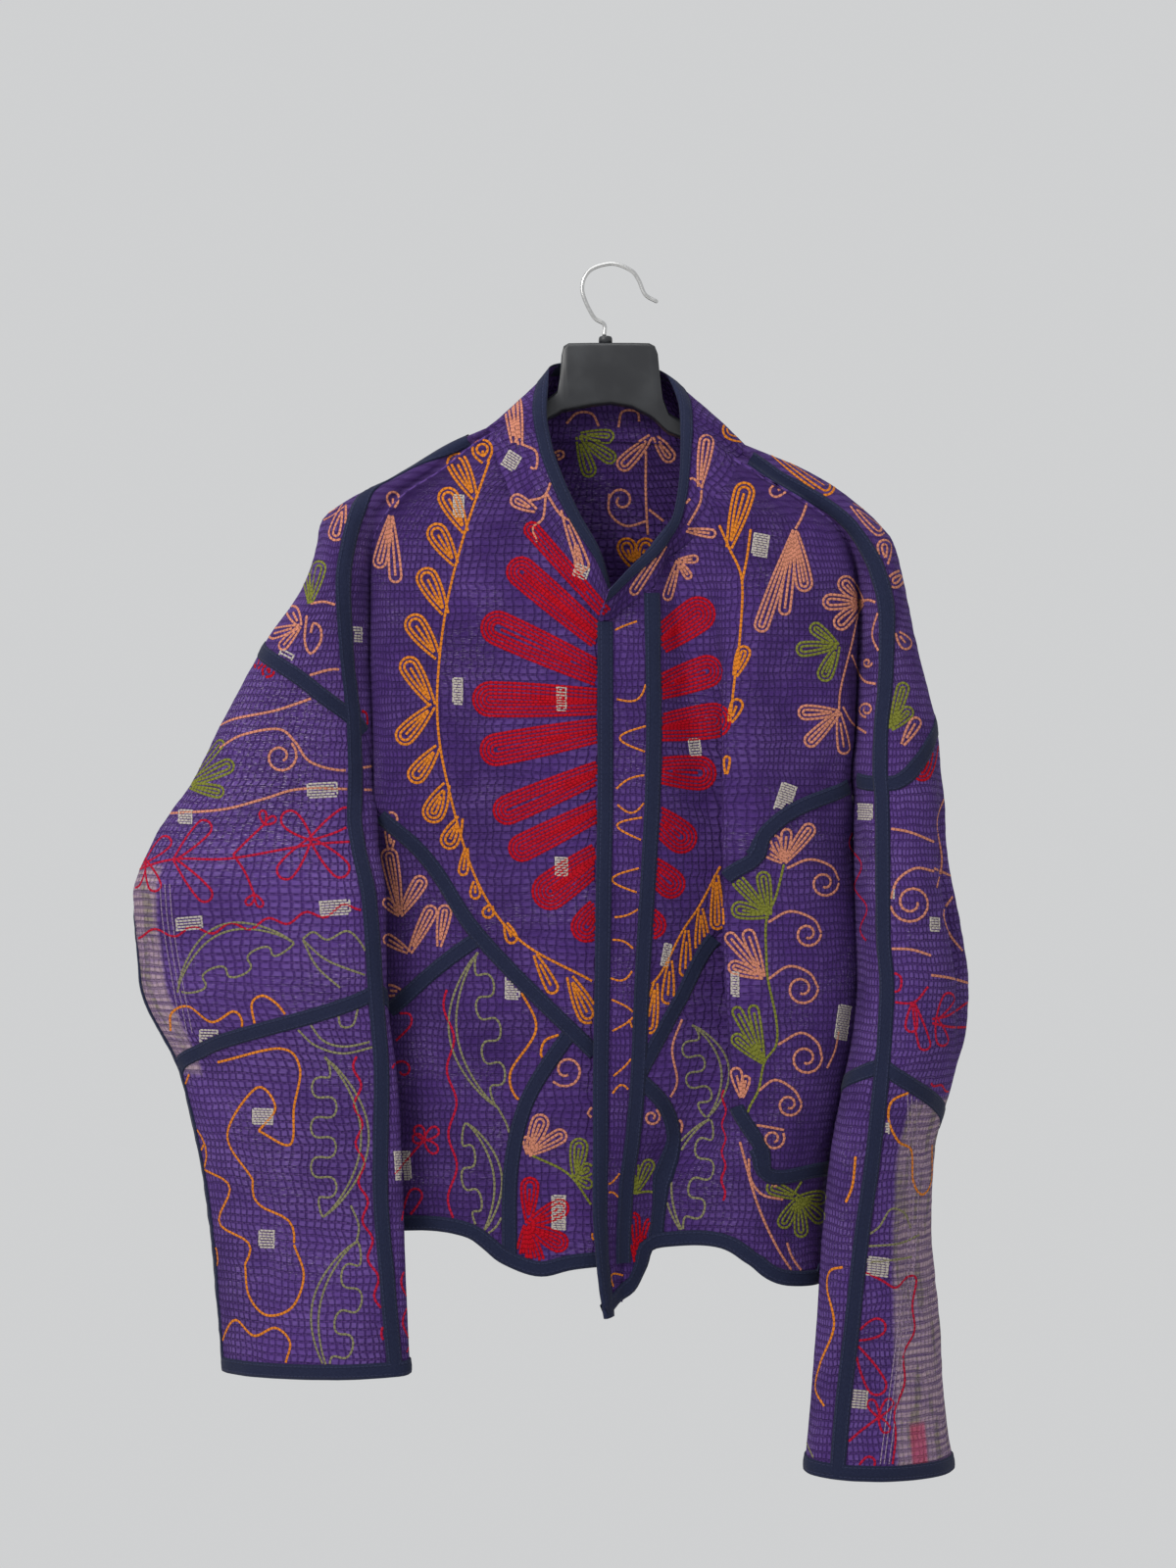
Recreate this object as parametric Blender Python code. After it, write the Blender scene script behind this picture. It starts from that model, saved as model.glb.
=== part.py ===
# A kantha jacket with navy seam strips, hanging closed on a plastic hanger with a wire hook.
# Lengths are millimetres until a mesh is made. The origin is the inside top of the hook.
# +X is the viewer's right, the front faces -Y, +Z is up, and a "drop" is a depth below the origin.

import math
from bisect import bisect_right

import bpy
import bmesh
from mathutils import Vector, kdtree
from mathutils.geometry import delaunay_2d_cdt, intersect_line_line_2d

MM = 0.001

# Cloth and trim
WALL = 2.0                # two quilted layers
SEAM_GAP = 0.2            # each panel stops this far short of its seam
UNDERARM_GAP = 1.4        # and further near the underarm
UNDERARM_REACH = 34.0
CROWD_GAP = 1.4           # and at a few tight bends
CROWD_REACH = 16.0
STRIP_WIDTH = 11.0
BINDING_WIDTH = 10.0
COLLAR_BINDING = 9.0
TRIM_LIFT = 0.9           # from a panel to the trim that lies on it
TRIM_THICK = 1.1
BINDING_LIFT = 1.1
END_GAP = 0.5

# Mesh fineness
ROW_STEP = 33.0
SHOULDER_ROW = 15.0
STATION = 23.0
FINE_STATION = 14.0
TOP_STATION = 17.0
EVEN_REACH = 5.0          # over which neighbouring normals are evened out
CLOSEST = 8.5
ARM_COLUMNS = 16
SNAP = 1.3                # points of the cut closer than this become one
CUFF_STATIONS = 22
BODY_COLUMNS = ([-779 + 22 * i for i in range(9)] + [-580 + 23.75 * i for i in range(16)]
                + [-200 + 28.5 * i for i in range(15)] + [200 + 23.75 * i for i in range(16)]
                + [580 + 20 * i for i in range(7)] + [720 + 9 * i for i in range(8)] + [792, 812, 835, 857])

# Widths of the cut, measured across the pattern
TORSO = 200.0             # centre back to the dip beside a sleeve, and dip to centre front
ARM = 380.0               # once round the sleeve
PLACKET = 45.0
PLACKET_LIFT = 3.5
FOLD_START = 90.0
FOLD_END = 160.0
RIGHT_FRONT = 300.0
SIDE_U = TORSO + ARM
LEFT_EDGE = SIDE_U + TORSO
RIGHT_EDGE = SIDE_U + RIGHT_FRONT
FOLD_OUT, FOLD_IN = RIGHT_EDGE - FOLD_END, RIGHT_EDGE - FOLD_START
FOLD_U = (FOLD_OUT + FOLD_IN) / 2
SEAM_U = RIGHT_EDGE - PLACKET

SHORT_RIGHT = 26.0
STRIP_SHORT = 34.0        # a front strip stops this far from the side seam
ARMHOLE_START = 30.0      # the drop-shoulder strip stops this far from the underarm
UNDER_STRIP_START = 52.0  # and the underarm strip starts this far below it
SIDE_RELAX = 60.0         # below the underarm, the body's side settles over this drop
SIDE_DEPTH = -3.0
CLOSE_OVER = 5.0
EDGE_ROUND = 0.6          # how full the front and back stay towards the side
LEFT, RIGHT = -1, 1
UNDERARM = {LEFT: 382.0, RIGHT: 373.0}
TOP_START = {LEFT: 130.0, RIGHT: 144.0}    # drop where each shoulder strip leaves the collar
SEAM_RUN = 15.0           # a seam is cut on this far past the strip's ends
CROWDED_BENDS = ((80, -58, -453), (-163, -58, -536))


def table(header, *rows):
    names = header.split()
    return {name: [row[i] for row in rows] for i, name in enumerate(names)}


# One row for each level: outer edge, dip beside the sleeve (the body's side below the underarm),
# sleeve's inner edge, shoulder seam, depths of front and back, how open the dip is,
# and the sleeve's middle depth, half depth and forward lean of its inner edge.
LEVELS = {
    LEFT: table(
        "drop edge dip inner top front back open arm_y arm_d lean",
        (118, 87, 72, 72, 82, 18, 16, 1.00, 0, 16, 0),
        (133, 122, 96, 96, 110, 25, 20, 1.00, 0, 20, 0),
        (157, 161, 126, 126, 158, 31, 24, 1.00, -1, 25, 0),
        (171, 190, 148, 148, 177, 34, 26, 0.95, -2, 28, 0),
        (189, 211, 164, 164, 184, 37, 28, 0.80, -4, 32, 0),
        (205, 214, 171, 171, 188, 39, 29, 0.60, -6, 34, 0),
        (234, 223, 174, 174, 192, 42, 30, 0.38, -9, 35, 1),
        (278, 253, 174, 174, 190, 45, 30, 0.24, -14, 34, 2),
        (341, 285, 172, 172, 184, 47, 29, 0.16, -20, 30, 3),
        (382, 305, 171, 171, 183, 48, 28, 0.14, -24, 27, 4),
        (400, 318, 165, 173, 183, 48, 28, 0.0, -27, 25, 8),
        (425, 333, 164, 170, 179, 49, 27, 0.0, -32, 24, 14),
        (460, 346, 165, 162, 171, 49, 27, 0.0, -36, 23, 18),
        (520, 344, 168, 160, 167, 50, 27, 0.0, -31, 22, 22),
        (590, 313, 166, 152, 162, 50, 26, 0.0, -33, 20, 24),
        (660, 297, 164, 148, 163, 50, 26, 0.0, -34, 20, 25),
        (730, 288, 165, 146, 158, 49, 26, 0.0, -33, 22, 25),
        (800, 283, 165, 143, 152, 48, 26, 0.0, -31, 25, 24)),
    RIGHT: table(
        "drop edge dip inner top front back open arm_y arm_d lean",
        (120, 72, 52, 52, 60, 20, 16, 1.00, 0, 16, 0),
        (132, 99, 70, 70, 84, 26, 20, 1.00, 0, 20, 0),
        (148, 138, 92, 92, 106, 32, 24, 1.00, 0, 25, 0),
        (160, 160, 110, 110, 121, 36, 26, 1.00, -1, 29, 0),
        (177, 182, 138, 138, 151, 40, 28, 0.95, -3, 32, 0),
        (192, 197, 158, 158, 170, 42, 29, 0.80, -5, 34, 0),
        (204, 205, 168, 168, 179, 44, 30, 0.62, -7, 35, 0),
        (227, 211, 175, 175, 190, 46, 31, 0.44, -10, 36, 0),
        (258, 217, 178, 178, 196, 48, 31, 0.32, -14, 37, 0),
        (300, 226, 177, 177, 195, 51, 31, 0.22, -18, 38, 0),
        (345, 236, 175, 175, 191, 53, 30, 0.16, -22, 39, 2),
        (373, 239, 172, 172, 190, 54, 30, 0.14, -25, 40, 4),
        (390, 241, 167, 175, 191, 54, 29, 0.0, -27, 41, 4),
        (421, 242, 166, 176, 191, 55, 28, 0.0, -30, 42, 5),
        (484, 253, 170, 180, 191, 56, 28, 0.0, -32, 43, 7),
        (519, 258, 169, 183, 193, 56, 27, 0.0, -34, 43, 8),
        (554, 256, 165, 179, 191, 56, 27, 0.0, -36, 42, 9),
        (589, 246, 157, 171, 188, 56, 27, 0.0, -39, 40, 10),
        (645, 232, 148, 160, 182, 56, 26, 0.0, -44, 35, 12),
        (700, 230, 150, 151, 174, 55, 26, 0.0, -48, 32, 14),
        (760, 234, 156, 145, 167, 55, 26, 0.0, -51, 32, 14),
        (820, 238, 156, 140, 160, 55, 26, 0.0, -53, 33, 14),
        (880, 246, 156, 134, 155, 55, 26, 0.0, -55, 34, 14)),
}

# The right front from its placket to the deep fold: outer edge and inner seam of the placket, how far
# the placket's seam turns back, depth of the middle panel, fold edge, overlap and lift of the side panel.
RIGHT_MIDDLE = table(
    "drop edge seam turn recess ridge overlap lift",
    (180, -9, 31, 0, 3, 82, 0, 0),
    (240, -9, 31, 0, 6, 84, 4, 2),
    (309, -9, 31, 0, 10, 80, 9, 4),
    (380, -9, 29, 0, 13, 79, 14, 6),
    (442, -10, 25, 0, 15, 78, 17, 8),
    (520, -11, 20, 2, 15, 80, 16, 10),
    (590, -12, 17, 5, 15, 84, 12, 12),
    (630, -12, 14, 9, 15, 85, 6, 8),
    (668, -12, 10, 13, 15, 84, 0, 2),
    (715, -9, 8, 17, 16, 80, 0, 0),
    (757, -4, 8, 18, 16, 80, 0, 0))

# Where the left front ends under the placket
LEFT_UNDER = table("drop x", (300, 10), (520, 6), (590, 2), (668, -3), (757, -3))

# Where the sleeves are sewn to the body, round the arm: 0 is beside the body, 90 front, 180 outside.
ARMHOLE = {
    LEFT: table("angle drop", (0, 382), (12, 356), (30, 339), (64, 320), (101, 300), (140, 287),
                (180, 280), (225, 288), (270, 315), (320, 352), (360, 382)),
    RIGHT: table("angle drop", (0, 373), (52, 379), (75, 379), (92, 375), (112, 364), (143, 345),
                 (180, 333), (225, 324), (270, 334), (320, 356), (360, 373)),
}
# The underarm seam starts beside the body and turns to the outside of the hanging sleeve.
UNDER_SEAM = {
    LEFT: table("drop angle", (382, 360), (402, 300), (432, 238), (470, 208), (530, 195), (800, 190)),
    RIGHT: table("drop angle", (373, 360), (395, 300), (432, 248), (490, 222), (570, 208), (880, 200)),
}
ELBOW = {LEFT: (526.0, 590.0), RIGHT: (577.0, 632.0)}    # drop at the top seam and at the underarm seam
CUFF = {LEFT: (797.0, 806.0), RIGHT: (862.0, 868.0)}     # drop at the inner and at the outer edge

# Soft creases: middle and half length down the cloth, middle and half width across it, depth, slant.
SLEEVE_CREASES = {
    LEFT: table("angle width drop length depth slant",
                (95, 16, 470, 90, 4.0, 0.10), (140, 13, 560, 80, 3.5, -0.12), (70, 13, 640, 90, 3.0, 0.05),
                (120, 12, 730, 70, 3.0, 0.06), (245, 15, 500, 90, 4.0, 0.08), (290, 14, 640, 90, 3.5, -0.06)),
    RIGHT: table("angle width drop length depth slant",
                 (152, 15, 480, 130, 13.0, 0.02), (60, 10, 560, 60, 3.0, 0.05),
                 (118, 11, 700, 110, 4.0, 0.04), (80, 12, 800, 70, 3.0, -0.05),
                 (250, 14, 520, 100, 4.0, 0.05), (300, 14, 720, 110, 4.0, -0.04)),
}
BODY_CREASES = table(
    "x width drop length depth slant facing",
    (-70, 26, 610, 150, 5.0, 0.05, -1), (-135, 16, 480, 130, 5.0, -0.05, -1),
    (-35, 14, 650, 100, 4.0, 0.0, -1), (55, 12, 640, 90, 4.0, 0.03, -1), (128, 16, 690, 60, 5.0, 0.1, -1),
    (-105, 22, 520, 210, 8.0, 0.03, 1), (-20, 26, 560, 230, 7.0, 0.0, 1), (80, 22, 500, 220, 8.0, -0.03, 1),
    (140, 16, 600, 130, 6.0, 0.02, 1), (20, 40, 190, 60, 4.0, 0.0, 1))

# Front-view lines on the body, as x and drop.
LEFT_NECK = ((-6, 267), (-28, 234), (-45, 211), (-64, 186), (-74, 167), (-81, 152), (-86, 138))
RIGHT_NECK = ((0, 262), (12, 252), (34, 231), (52, 209), (68, 189), (80, 167), (90, 148))
BACK_NECK = 124.0
LEFT_SHOULDER_NECK = ((0, 127), (90, 123), (180, 119.5), (270, 121), (360, 125))
RIGHT_SHOULDER_NECK = ((360, 130), (250, 131), (180, 131), (108, 135), (60, 142))
LEFT_HEM = ((12, 722), (-28, 725), (-52, 730), (-78, 721), (-92, 710), (-106, 702), (-135, 699), (-165, 704))
RIGHT_HEM = ((-4, 757), (8, 736), (30, 712), (62, 708), (82, 714), (105, 727), (128, 737), (150, 737))
BACK_HEM = ((-165, 704), (0, 706), (155, 734))
LEFT_DIAGONAL = ((-140, 425), (-94, 489), (-12, 571))
LEFT_BRANCH = ((-94, 489), (-152, 536))
LEFT_CORNER = ((-30, 556), (-60, 605), (-72, 655), (-73, 712))
RIGHT_DIAGONAL_SIDE = ((140, 393), (110, 413), (84, 433))
RIGHT_DIAGONAL_MIDDLE = ((74, 490), (48, 535), (22, 581))
RIGHT_BRANCH_SIDE = ((93, 636), (112, 657), (146, 655))
LEFT_DIAGONAL_END, RIGHT_DIAGONAL_END = 386.0, 376.0     # drops at the side seams
LEFT_BRANCH_END = 549.0
RIGHT_BRANCH_END = 655.0
FOLD_DIAGONAL, FOLD_BRANCH = 462.0, 570.0    # drops where two seams pass inside the deep fold
DIAGONAL_MEETS = 590.0    # drop where the right diagonal meets the placket's seam
BRANCH_STEP = Vector((-5, 18))    # the branch's first bend, from the diagonal's end
PAST = 3.0                # a seam runs on this far past the seam that it meets
DIAGONAL_UNDER = 22.0     # further drops of seams and edges where they run on under other cloth
CORNER_RUN = 25.0
NECK_UNDER, NECK_OVER, NECK_RISE = 16.0, 2.0, 30.0
SEAM_TOP, SEAM_END = 200.0, 800.0
FIRST_ROW, CHEST_ROW, LAST_ROW = 120.0, 250.0, 745.0
SHOULDER_END = 225.0      # rows of the mesh are closer down to this drop
SLEEVE_ROWS_START = 300.0
SIDE_RAIL_TOP = 140.0
RIGHT_CORNER = ((25, 588), (38, 610), (43, 640), (40, 675), (34, 711))

# The collar's upper edge, from the left tip round the neck to the right tip.
COLLAR_EDGE = table(
    "share x y drop",
    (0.00, 1, -43, 243), (0.06, -8, -44, 214), (0.13, -23, -42, 187), (0.19, -35, -38, 161),
    (0.25, -44, -31, 134), (0.31, -48, -22, 107), (0.38, -46, -3, 76), (0.44, -32, 18, 69),
    (0.52, 0, 25, 68), (0.60, 30, 19, 72), (0.66, 45, -2, 84), (0.73, 51, -23, 112),
    (0.80, 50, -37, 150), (0.86, 45, -46, 186), (0.92, 30, -54, 209), (0.97, 11, -61, 229),
    (1.00, -2, -65, 243))
COLLAR_BULGE = 3.0

COLLAR_LIFT = 0.5
COLLAR_ROWS = (0, 0.33, 0.66)    # shares of the rise, below the binding

# Hanger: a plastic body under the neck, with a bar inside each shoulder
HANGER_HALF = 6.0
HANGER_SOFT = 2.5
HANGER_BAR = 13.0
HANGER_FALL = 0.05        # the bar sinks away from the shoulder towards its end
HANGER_UNDER = 4.6        # from the outside of the shoulder down to the bar
HANGER_FALL_START = 130.0
SHOULDER_LAST = 200.0     # lowest drop of a shoulder's ridge
HANGER_ARM_LEFT = (-180, -170, -158, -144, -130, -116, -104)
HANGER_NECK = table(
    "x top bottom half",
    (-92, 124, 139, 7), (-78, 119, 133, 7), (-62, 110, 124, 7), (-48, 99, 114, 7), (-37, 92, 108, 7),
    (-35.5, 61, 107, 7), (-33, 57, 106, 7), (-15, 57, 103, 7), (0, 57, 101.5, 7), (15, 57, 104, 7),
    (30, 57, 112, 7), (33, 62, 115, 7), (36, 90, 118, 7), (42, 108, 123, 7), (52, 114, 127, 7),
    (66, 120, 133, 7), (82, 128, 141, 7))
HANGER_ARM_RIGHT = (104, 116, 130, 144, 158, 170, 180)
BOSS_X, BOSS_RADIUS = -4.0, 5.0
BOSS_TOP, BOSS_BASE = 51.8, 56.8
WIRE = 3.0
HOOK = ((-5, 51.6), (-5, 43), (-13, 37), (-21, 18), (-16, 4),
        (0, -1.5), (14, 3), (20, 10), (25, 21), (33, 26))

BODY_STRIPS = ("strip_left_diagonal", "strip_left_branch", "strip_left_corner", "strip_placket",
               "strip_right_diagonal_side", "strip_right_diagonal", "strip_right_branch",
               "strip_right_corner")

# Colours
VIOLET = (0.075, 0.035, 0.19)
NAVY = (0.012, 0.018, 0.048)
PLASTIC = (0.02, 0.02, 0.022)
STEEL = (0.6, 0.6, 0.62)


def clamp(value, low=0.0, high=1.0):
    return max(low, min(high, value))


def smooth(value):
    value = clamp(value)
    return value * value * (3 - 2 * value)


def slope(xs, ys, i):
    # Monotone slope, so that a curve through the rows never overshoots them.
    last = len(xs) - 1
    before = (ys[i] - ys[i - 1]) / (xs[i] - xs[i - 1]) if i > 0 else None
    after = (ys[i + 1] - ys[i]) / (xs[i + 1] - xs[i]) if i < last else None
    if before is None or after is None:
        return after if before is None else before
    if before * after <= 0:
        return 0.0
    return 2 * before * after / (before + after)


def at(rows, name, where, key="drop"):
    # Value of a column between the rows.
    xs, ys = rows[key], rows[name]
    if where <= xs[0]:
        return ys[0]
    if where >= xs[-1]:
        return ys[-1]
    i = bisect_right(xs, where) - 1
    span = xs[i + 1] - xs[i]
    t = (where - xs[i]) / span
    a, b = slope(xs, ys, i) * span, slope(xs, ys, i + 1) * span
    return (ys[i] * (2 * t ** 3 - 3 * t ** 2 + 1) + a * (t ** 3 - 2 * t ** 2 + t)
            + ys[i + 1] * (3 * t ** 2 - 2 * t ** 3) + b * (t ** 3 - t ** 2))


def level(side, drop):
    return {name: at(LEVELS[side], name, drop) for name in LEVELS[side]}


def openness(side, row, drop):
    under = UNDERARM[side]
    if drop <= under:
        return row["open"]
    return at(LEVELS[side], "open", under) * (1 - clamp((drop - under) / CLOSE_OVER))


def inner_y(side, row):
    return row["arm_y"] - row["lean"]


def side_y(side, row, drop):
    # Depth of the body's side, which leaves the sleeve below the underarm.
    under = UNDERARM[side]
    if drop <= under:
        return inner_y(side, row)
    start = inner_y(side, level(side, under))
    return start + (SIDE_DEPTH - start) * smooth((drop - under) / SIDE_RELAX)


def crease_depth(rows, across, drop, name, facing=None):
    total = 0.0
    for i, middle in enumerate(rows[name]):
        if facing is not None and rows["facing"][i] != facing:
            continue
        down = (drop - rows["drop"][i]) / rows["length"][i]
        if abs(down) >= 1:
            continue
        shift = middle + rows["slant"][i] * (drop - rows["drop"][i])
        wide = (across - shift) / rows["width"][i]
        total += rows["depth"][i] * math.exp(-wide * wide) * math.cos(down * math.pi / 2) ** 2
    return total


def arm_point(side, angle, drop):
    # A point on the cap of the shoulder or on the sleeve.
    row = level(side, drop)
    turn = math.radians(angle % 360.0)
    c, s = math.cos(turn), math.sin(turn)
    mid, half = (row["edge"] + row["inner"]) / 2, (row["edge"] - row["inner"]) / 2
    gap = row["front"] if s >= 0 else row["back"]
    start = inner_y(side, row)
    reach = (start + gap if s >= 0 else gap - start) * openness(side, row, drop)
    depth = ((row["arm_d"] * abs(s)) ** 4 + (reach * max(c, 0.0)) ** 4) ** 0.25
    x, y = -half * c, depth if s < 0 else -depth
    push = crease_depth(SLEEVE_CREASES[side], angle % 360.0, drop, "angle")
    length = math.hypot(x, y) or 1.0
    keep = max(1 - push / length, 0.2)
    return Vector((side * (mid + x * keep), row["arm_y"] - row["lean"] * c + y * keep, -drop))


def back_point(side, share, drop):
    row = level(side, drop)
    c, s = math.cos(share * math.pi / 2), math.sin(share * math.pi / 2)
    inside = side_y(side, row, drop)
    edge = inside + (row["back"] - inside) * openness(side, row, drop)
    x = side * row["dip"] * s
    y = row["back"] + (edge - row["back"]) * (1 - max(c, 0.0) ** EDGE_ROUND)
    push = crease_depth(BODY_CREASES, x, drop, "x", facing=1) * max(c, 0.0)
    return Vector((x, y - push, -drop))


def front_edge(side, row, drop):
    inside = side_y(side, row, drop)
    return inside - (row["front"] + inside) * openness(side, row, drop)


def left_front_point(share, drop):
    # Share 0 is the edge under the placket and 1 is the dip beside the sleeve.
    row = level(LEFT, drop)
    c, s = math.cos(share * math.pi / 2), math.sin(share * math.pi / 2)
    start = at(LEFT_UNDER, "x", drop)
    x = start - (row["dip"] + start) * s
    y = -row["front"] + (front_edge(LEFT, row, drop) + row["front"]) * (1 - max(c, 0.0) ** EDGE_ROUND)
    push = crease_depth(BODY_CREASES, x, drop, "x", facing=-1) * max(c, 0.0)
    return Vector((x, y + push, -drop))


def right_front_point(cloth, drop):
    # Cloth 0 is the placket's outer edge and RIGHT_FRONT is the dip beside the sleeve.
    row = level(RIGHT, drop)
    mid = {name: at(RIGHT_MIDDLE, name, drop) for name in RIGHT_MIDDLE}
    scale = min(1.0, row["dip"] / 150.0)
    front = -row["front"]
    width = 70.0 - 2.7 * mid["overlap"]
    fold_from = mid["ridge"] - 0.72 * width + 0.98 * mid["overlap"]
    fold_to = fold_from + width
    if cloth <= PLACKET:
        share = cloth / PLACKET
        x = mid["edge"] + (mid["seam"] - mid["edge"]) * share
        return Vector((x * scale, front - PLACKET_LIFT - mid["turn"] * (0.4 - share), -drop))
    seam_y = front - PLACKET_LIFT + 0.6 * mid["turn"]
    if cloth <= FOLD_START:
        share = (cloth - PLACKET) / (FOLD_START - PLACKET)
        x = mid["seam"] + (fold_from - mid["seam"]) * share
        y = seam_y + (front + mid["recess"] - seam_y) * smooth(share)
        return Vector((x * scale, y, -drop))
    if cloth <= FOLD_END:
        share = (cloth - FOLD_START) / (FOLD_END - FOLD_START)
        x = fold_from + width * share + mid["overlap"] * math.sin(2 * math.pi * share)
        y = front + mid["recess"] - (mid["recess"] + mid["lift"]) * smooth(share)
        return Vector((x * scale, y, -drop))
    share = (cloth - FOLD_END) / (RIGHT_FRONT - FOLD_END)
    c, s = math.cos(share * math.pi / 2), math.sin(share * math.pi / 2)
    x = fold_to * scale + (row["dip"] - fold_to * scale) * s
    lifted = front - mid["lift"]
    y = lifted + (front_edge(RIGHT, row, drop) - lifted) * (1 - max(c, 0.0) ** EDGE_ROUND)
    push = crease_depth(BODY_CREASES, x, drop, "x", facing=-1) * max(c, 0.0)
    return Vector((x, y + push, -drop))


def body_point(u, drop):
    # The whole body as one cut: centre back at u 0, left front at one end, right front at the other.
    side = LEFT if u < 0 else RIGHT
    across = abs(u)
    if across <= TORSO:
        return back_point(side, across / TORSO, drop)
    if across < SIDE_U:
        return arm_point(side, min(360.0 * (TORSO + ARM - across) / ARM, 359.999), drop)
    rest = across - TORSO - ARM
    if side == LEFT:
        return left_front_point(1 - rest / TORSO, drop)
    return right_front_point(RIGHT_FRONT - rest, drop)


def find(place, low, high, x, drop):
    # Where the cut, between two places across it, has a given front-view x.
    rising = place(high, drop).x > place(low, drop).x
    for _ in range(30):
        middle = (low + high) / 2
        if (place(middle, drop).x < x) == rising:
            low = middle
        else:
            high = middle
    return (low + high) / 2


def left_front_at(x, drop):
    return find(body_point, -SIDE_U, -LEFT_EDGE, x, drop), drop


def right_side_at(x, drop):
    return find(body_point, SIDE_U, RIGHT_EDGE - FOLD_END, x, drop), drop


def right_neck_at(x, drop):
    return find(body_point, SIDE_U, RIGHT_EDGE, x, drop), drop


def right_middle_at(x, drop):
    return find(body_point, RIGHT_EDGE - FOLD_START, RIGHT_EDGE, x, drop), drop


def crowded_spots():
    spots = [(arm_point(side, 0.0, UNDERARM[side]), UNDERARM_REACH, UNDERARM_GAP) for side in (LEFT, RIGHT)]
    return spots + [(Vector(bend), CROWD_REACH, CROWD_GAP) for bend in CROWDED_BENDS]


def arm_u(side, angle):
    # Angle 0 is beside the front and 360 beside the back.
    return side * (TORSO + ARM * (360.0 - angle) / 360.0)


def top_angle(side, drop):
    row = level(side, drop)
    mid, half = (row["edge"] + row["inner"]) / 2, (row["edge"] - row["inner"]) / 2
    return math.degrees(math.acos(clamp((mid - row["top"]) / half, -0.98, 0.98)))


# Lines on the cut

def spline(points, step=4.0):
    # A smooth line through a few points of the cut.
    points = [Vector(p) for p in points]
    ends = [points[0] * 2 - points[1]] + points + [points[-1] * 2 - points[-2]]
    line = []
    for a, b, c, d in zip(ends, ends[1:], ends[2:], ends[3:]):
        count = max(1, round((c - b).length / step))
        for i in range(count):
            t = i / count
            line.append(0.5 * (2 * b + (c - a) * t + (2 * a - 5 * b + 4 * c - d) * t * t
                               + (3 * b - a - 3 * c + d) * t ** 3))
    return line + [points[-1]]


def resample(line, place, spacing=STATION, count=None):
    # Even stations along a line, by its true length on the garment.
    spots = [place(p[0], p[1]) for p in line]
    lengths = [0.0]
    for a, b in zip(spots, spots[1:]):
        lengths.append(lengths[-1] + (b - a).length)
    count = count or max(1, round(lengths[-1] / spacing))
    result = []
    for k in range(count + 1):
        want = lengths[-1] * k / count
        i = min(max(bisect_right(lengths, want) - 1, 0), len(line) - 2)
        span = lengths[i + 1] - lengths[i]
        share = (want - lengths[i]) / span if span > 1e-9 else 0.0
        result.append(line[i].lerp(line[i + 1], clamp(share)))
    return result


def across_step(place, point, along, width):
    # The step on the cut that is square to a line on the garment, with a given real width.
    e = 0.5
    du = (place(point[0] + e, point[1]) - place(point[0] - e, point[1])) / (2 * e)
    dv = (place(point[0], point[1] + e) - place(point[0], point[1] - e)) / (2 * e)
    guu, guv, gvv = du.dot(du), du.dot(dv), dv.dot(dv)
    step = Vector((-(guv * along[0] + gvv * along[1]), guu * along[0] + guv * along[1]))
    real = (du * step[0] + dv * step[1]).length
    return step * (width / real)


def beside(line, place, width):
    # A line moved sideways over the garment.
    result = []
    for i, point in enumerate(line):
        along = line[min(i + 1, len(line) - 1)] - line[max(i - 1, 0)]
        result.append(point + across_step(place, point, along, width))
    return result


def cut_back(line, fences, margin=2.8):
    # Drop the start of a line up to the last fence that it crosses in its first part.
    reach = max(2, int(len(line) * 0.45))
    for i in range(reach, 0, -1):
        for fence in fences:
            for a, b in zip(fence, fence[1:]):
                hit = intersect_line_line_2d(line[i - 1], line[i], a, b)
                if hit is not None:
                    step = (line[i] - hit).normalized() * margin
                    return [Vector(hit) + step] + line[i:]
    return line


def trim_ends(line, first, last):
    line = cut_back(line, first) if first else line
    return cut_back(line[::-1], last)[::-1] if last else line


class Trim:
    # A flat strip over a seam: its left edge, middle and right edge on the cut.
    def __init__(self, line, place, first=(), last=(), width=STRIP_WIDTH, spacing=STATION):
        dense = resample(line, place, 4.0)
        rails = [beside(dense, place, -width / 2), dense, beside(dense, place, width / 2)]
        rails = [trim_ends(rail, first, last) for rail in rails]
        spots = [place(p[0], p[1]) for p in rails[1]]
        length = sum((b - a).length for a, b in zip(spots, spots[1:]))
        count = max(2, round(length / spacing))
        self.place = place
        self.rails = [resample(rail, place, count=count) for rail in rails]

    def fences(self):
        return [self.rails[0], self.rails[2]]

    def seam(self, before=(), after=()):
        return [Vector(p) for p in before] + self.rails[1] + [Vector(p) for p in after]


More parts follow.
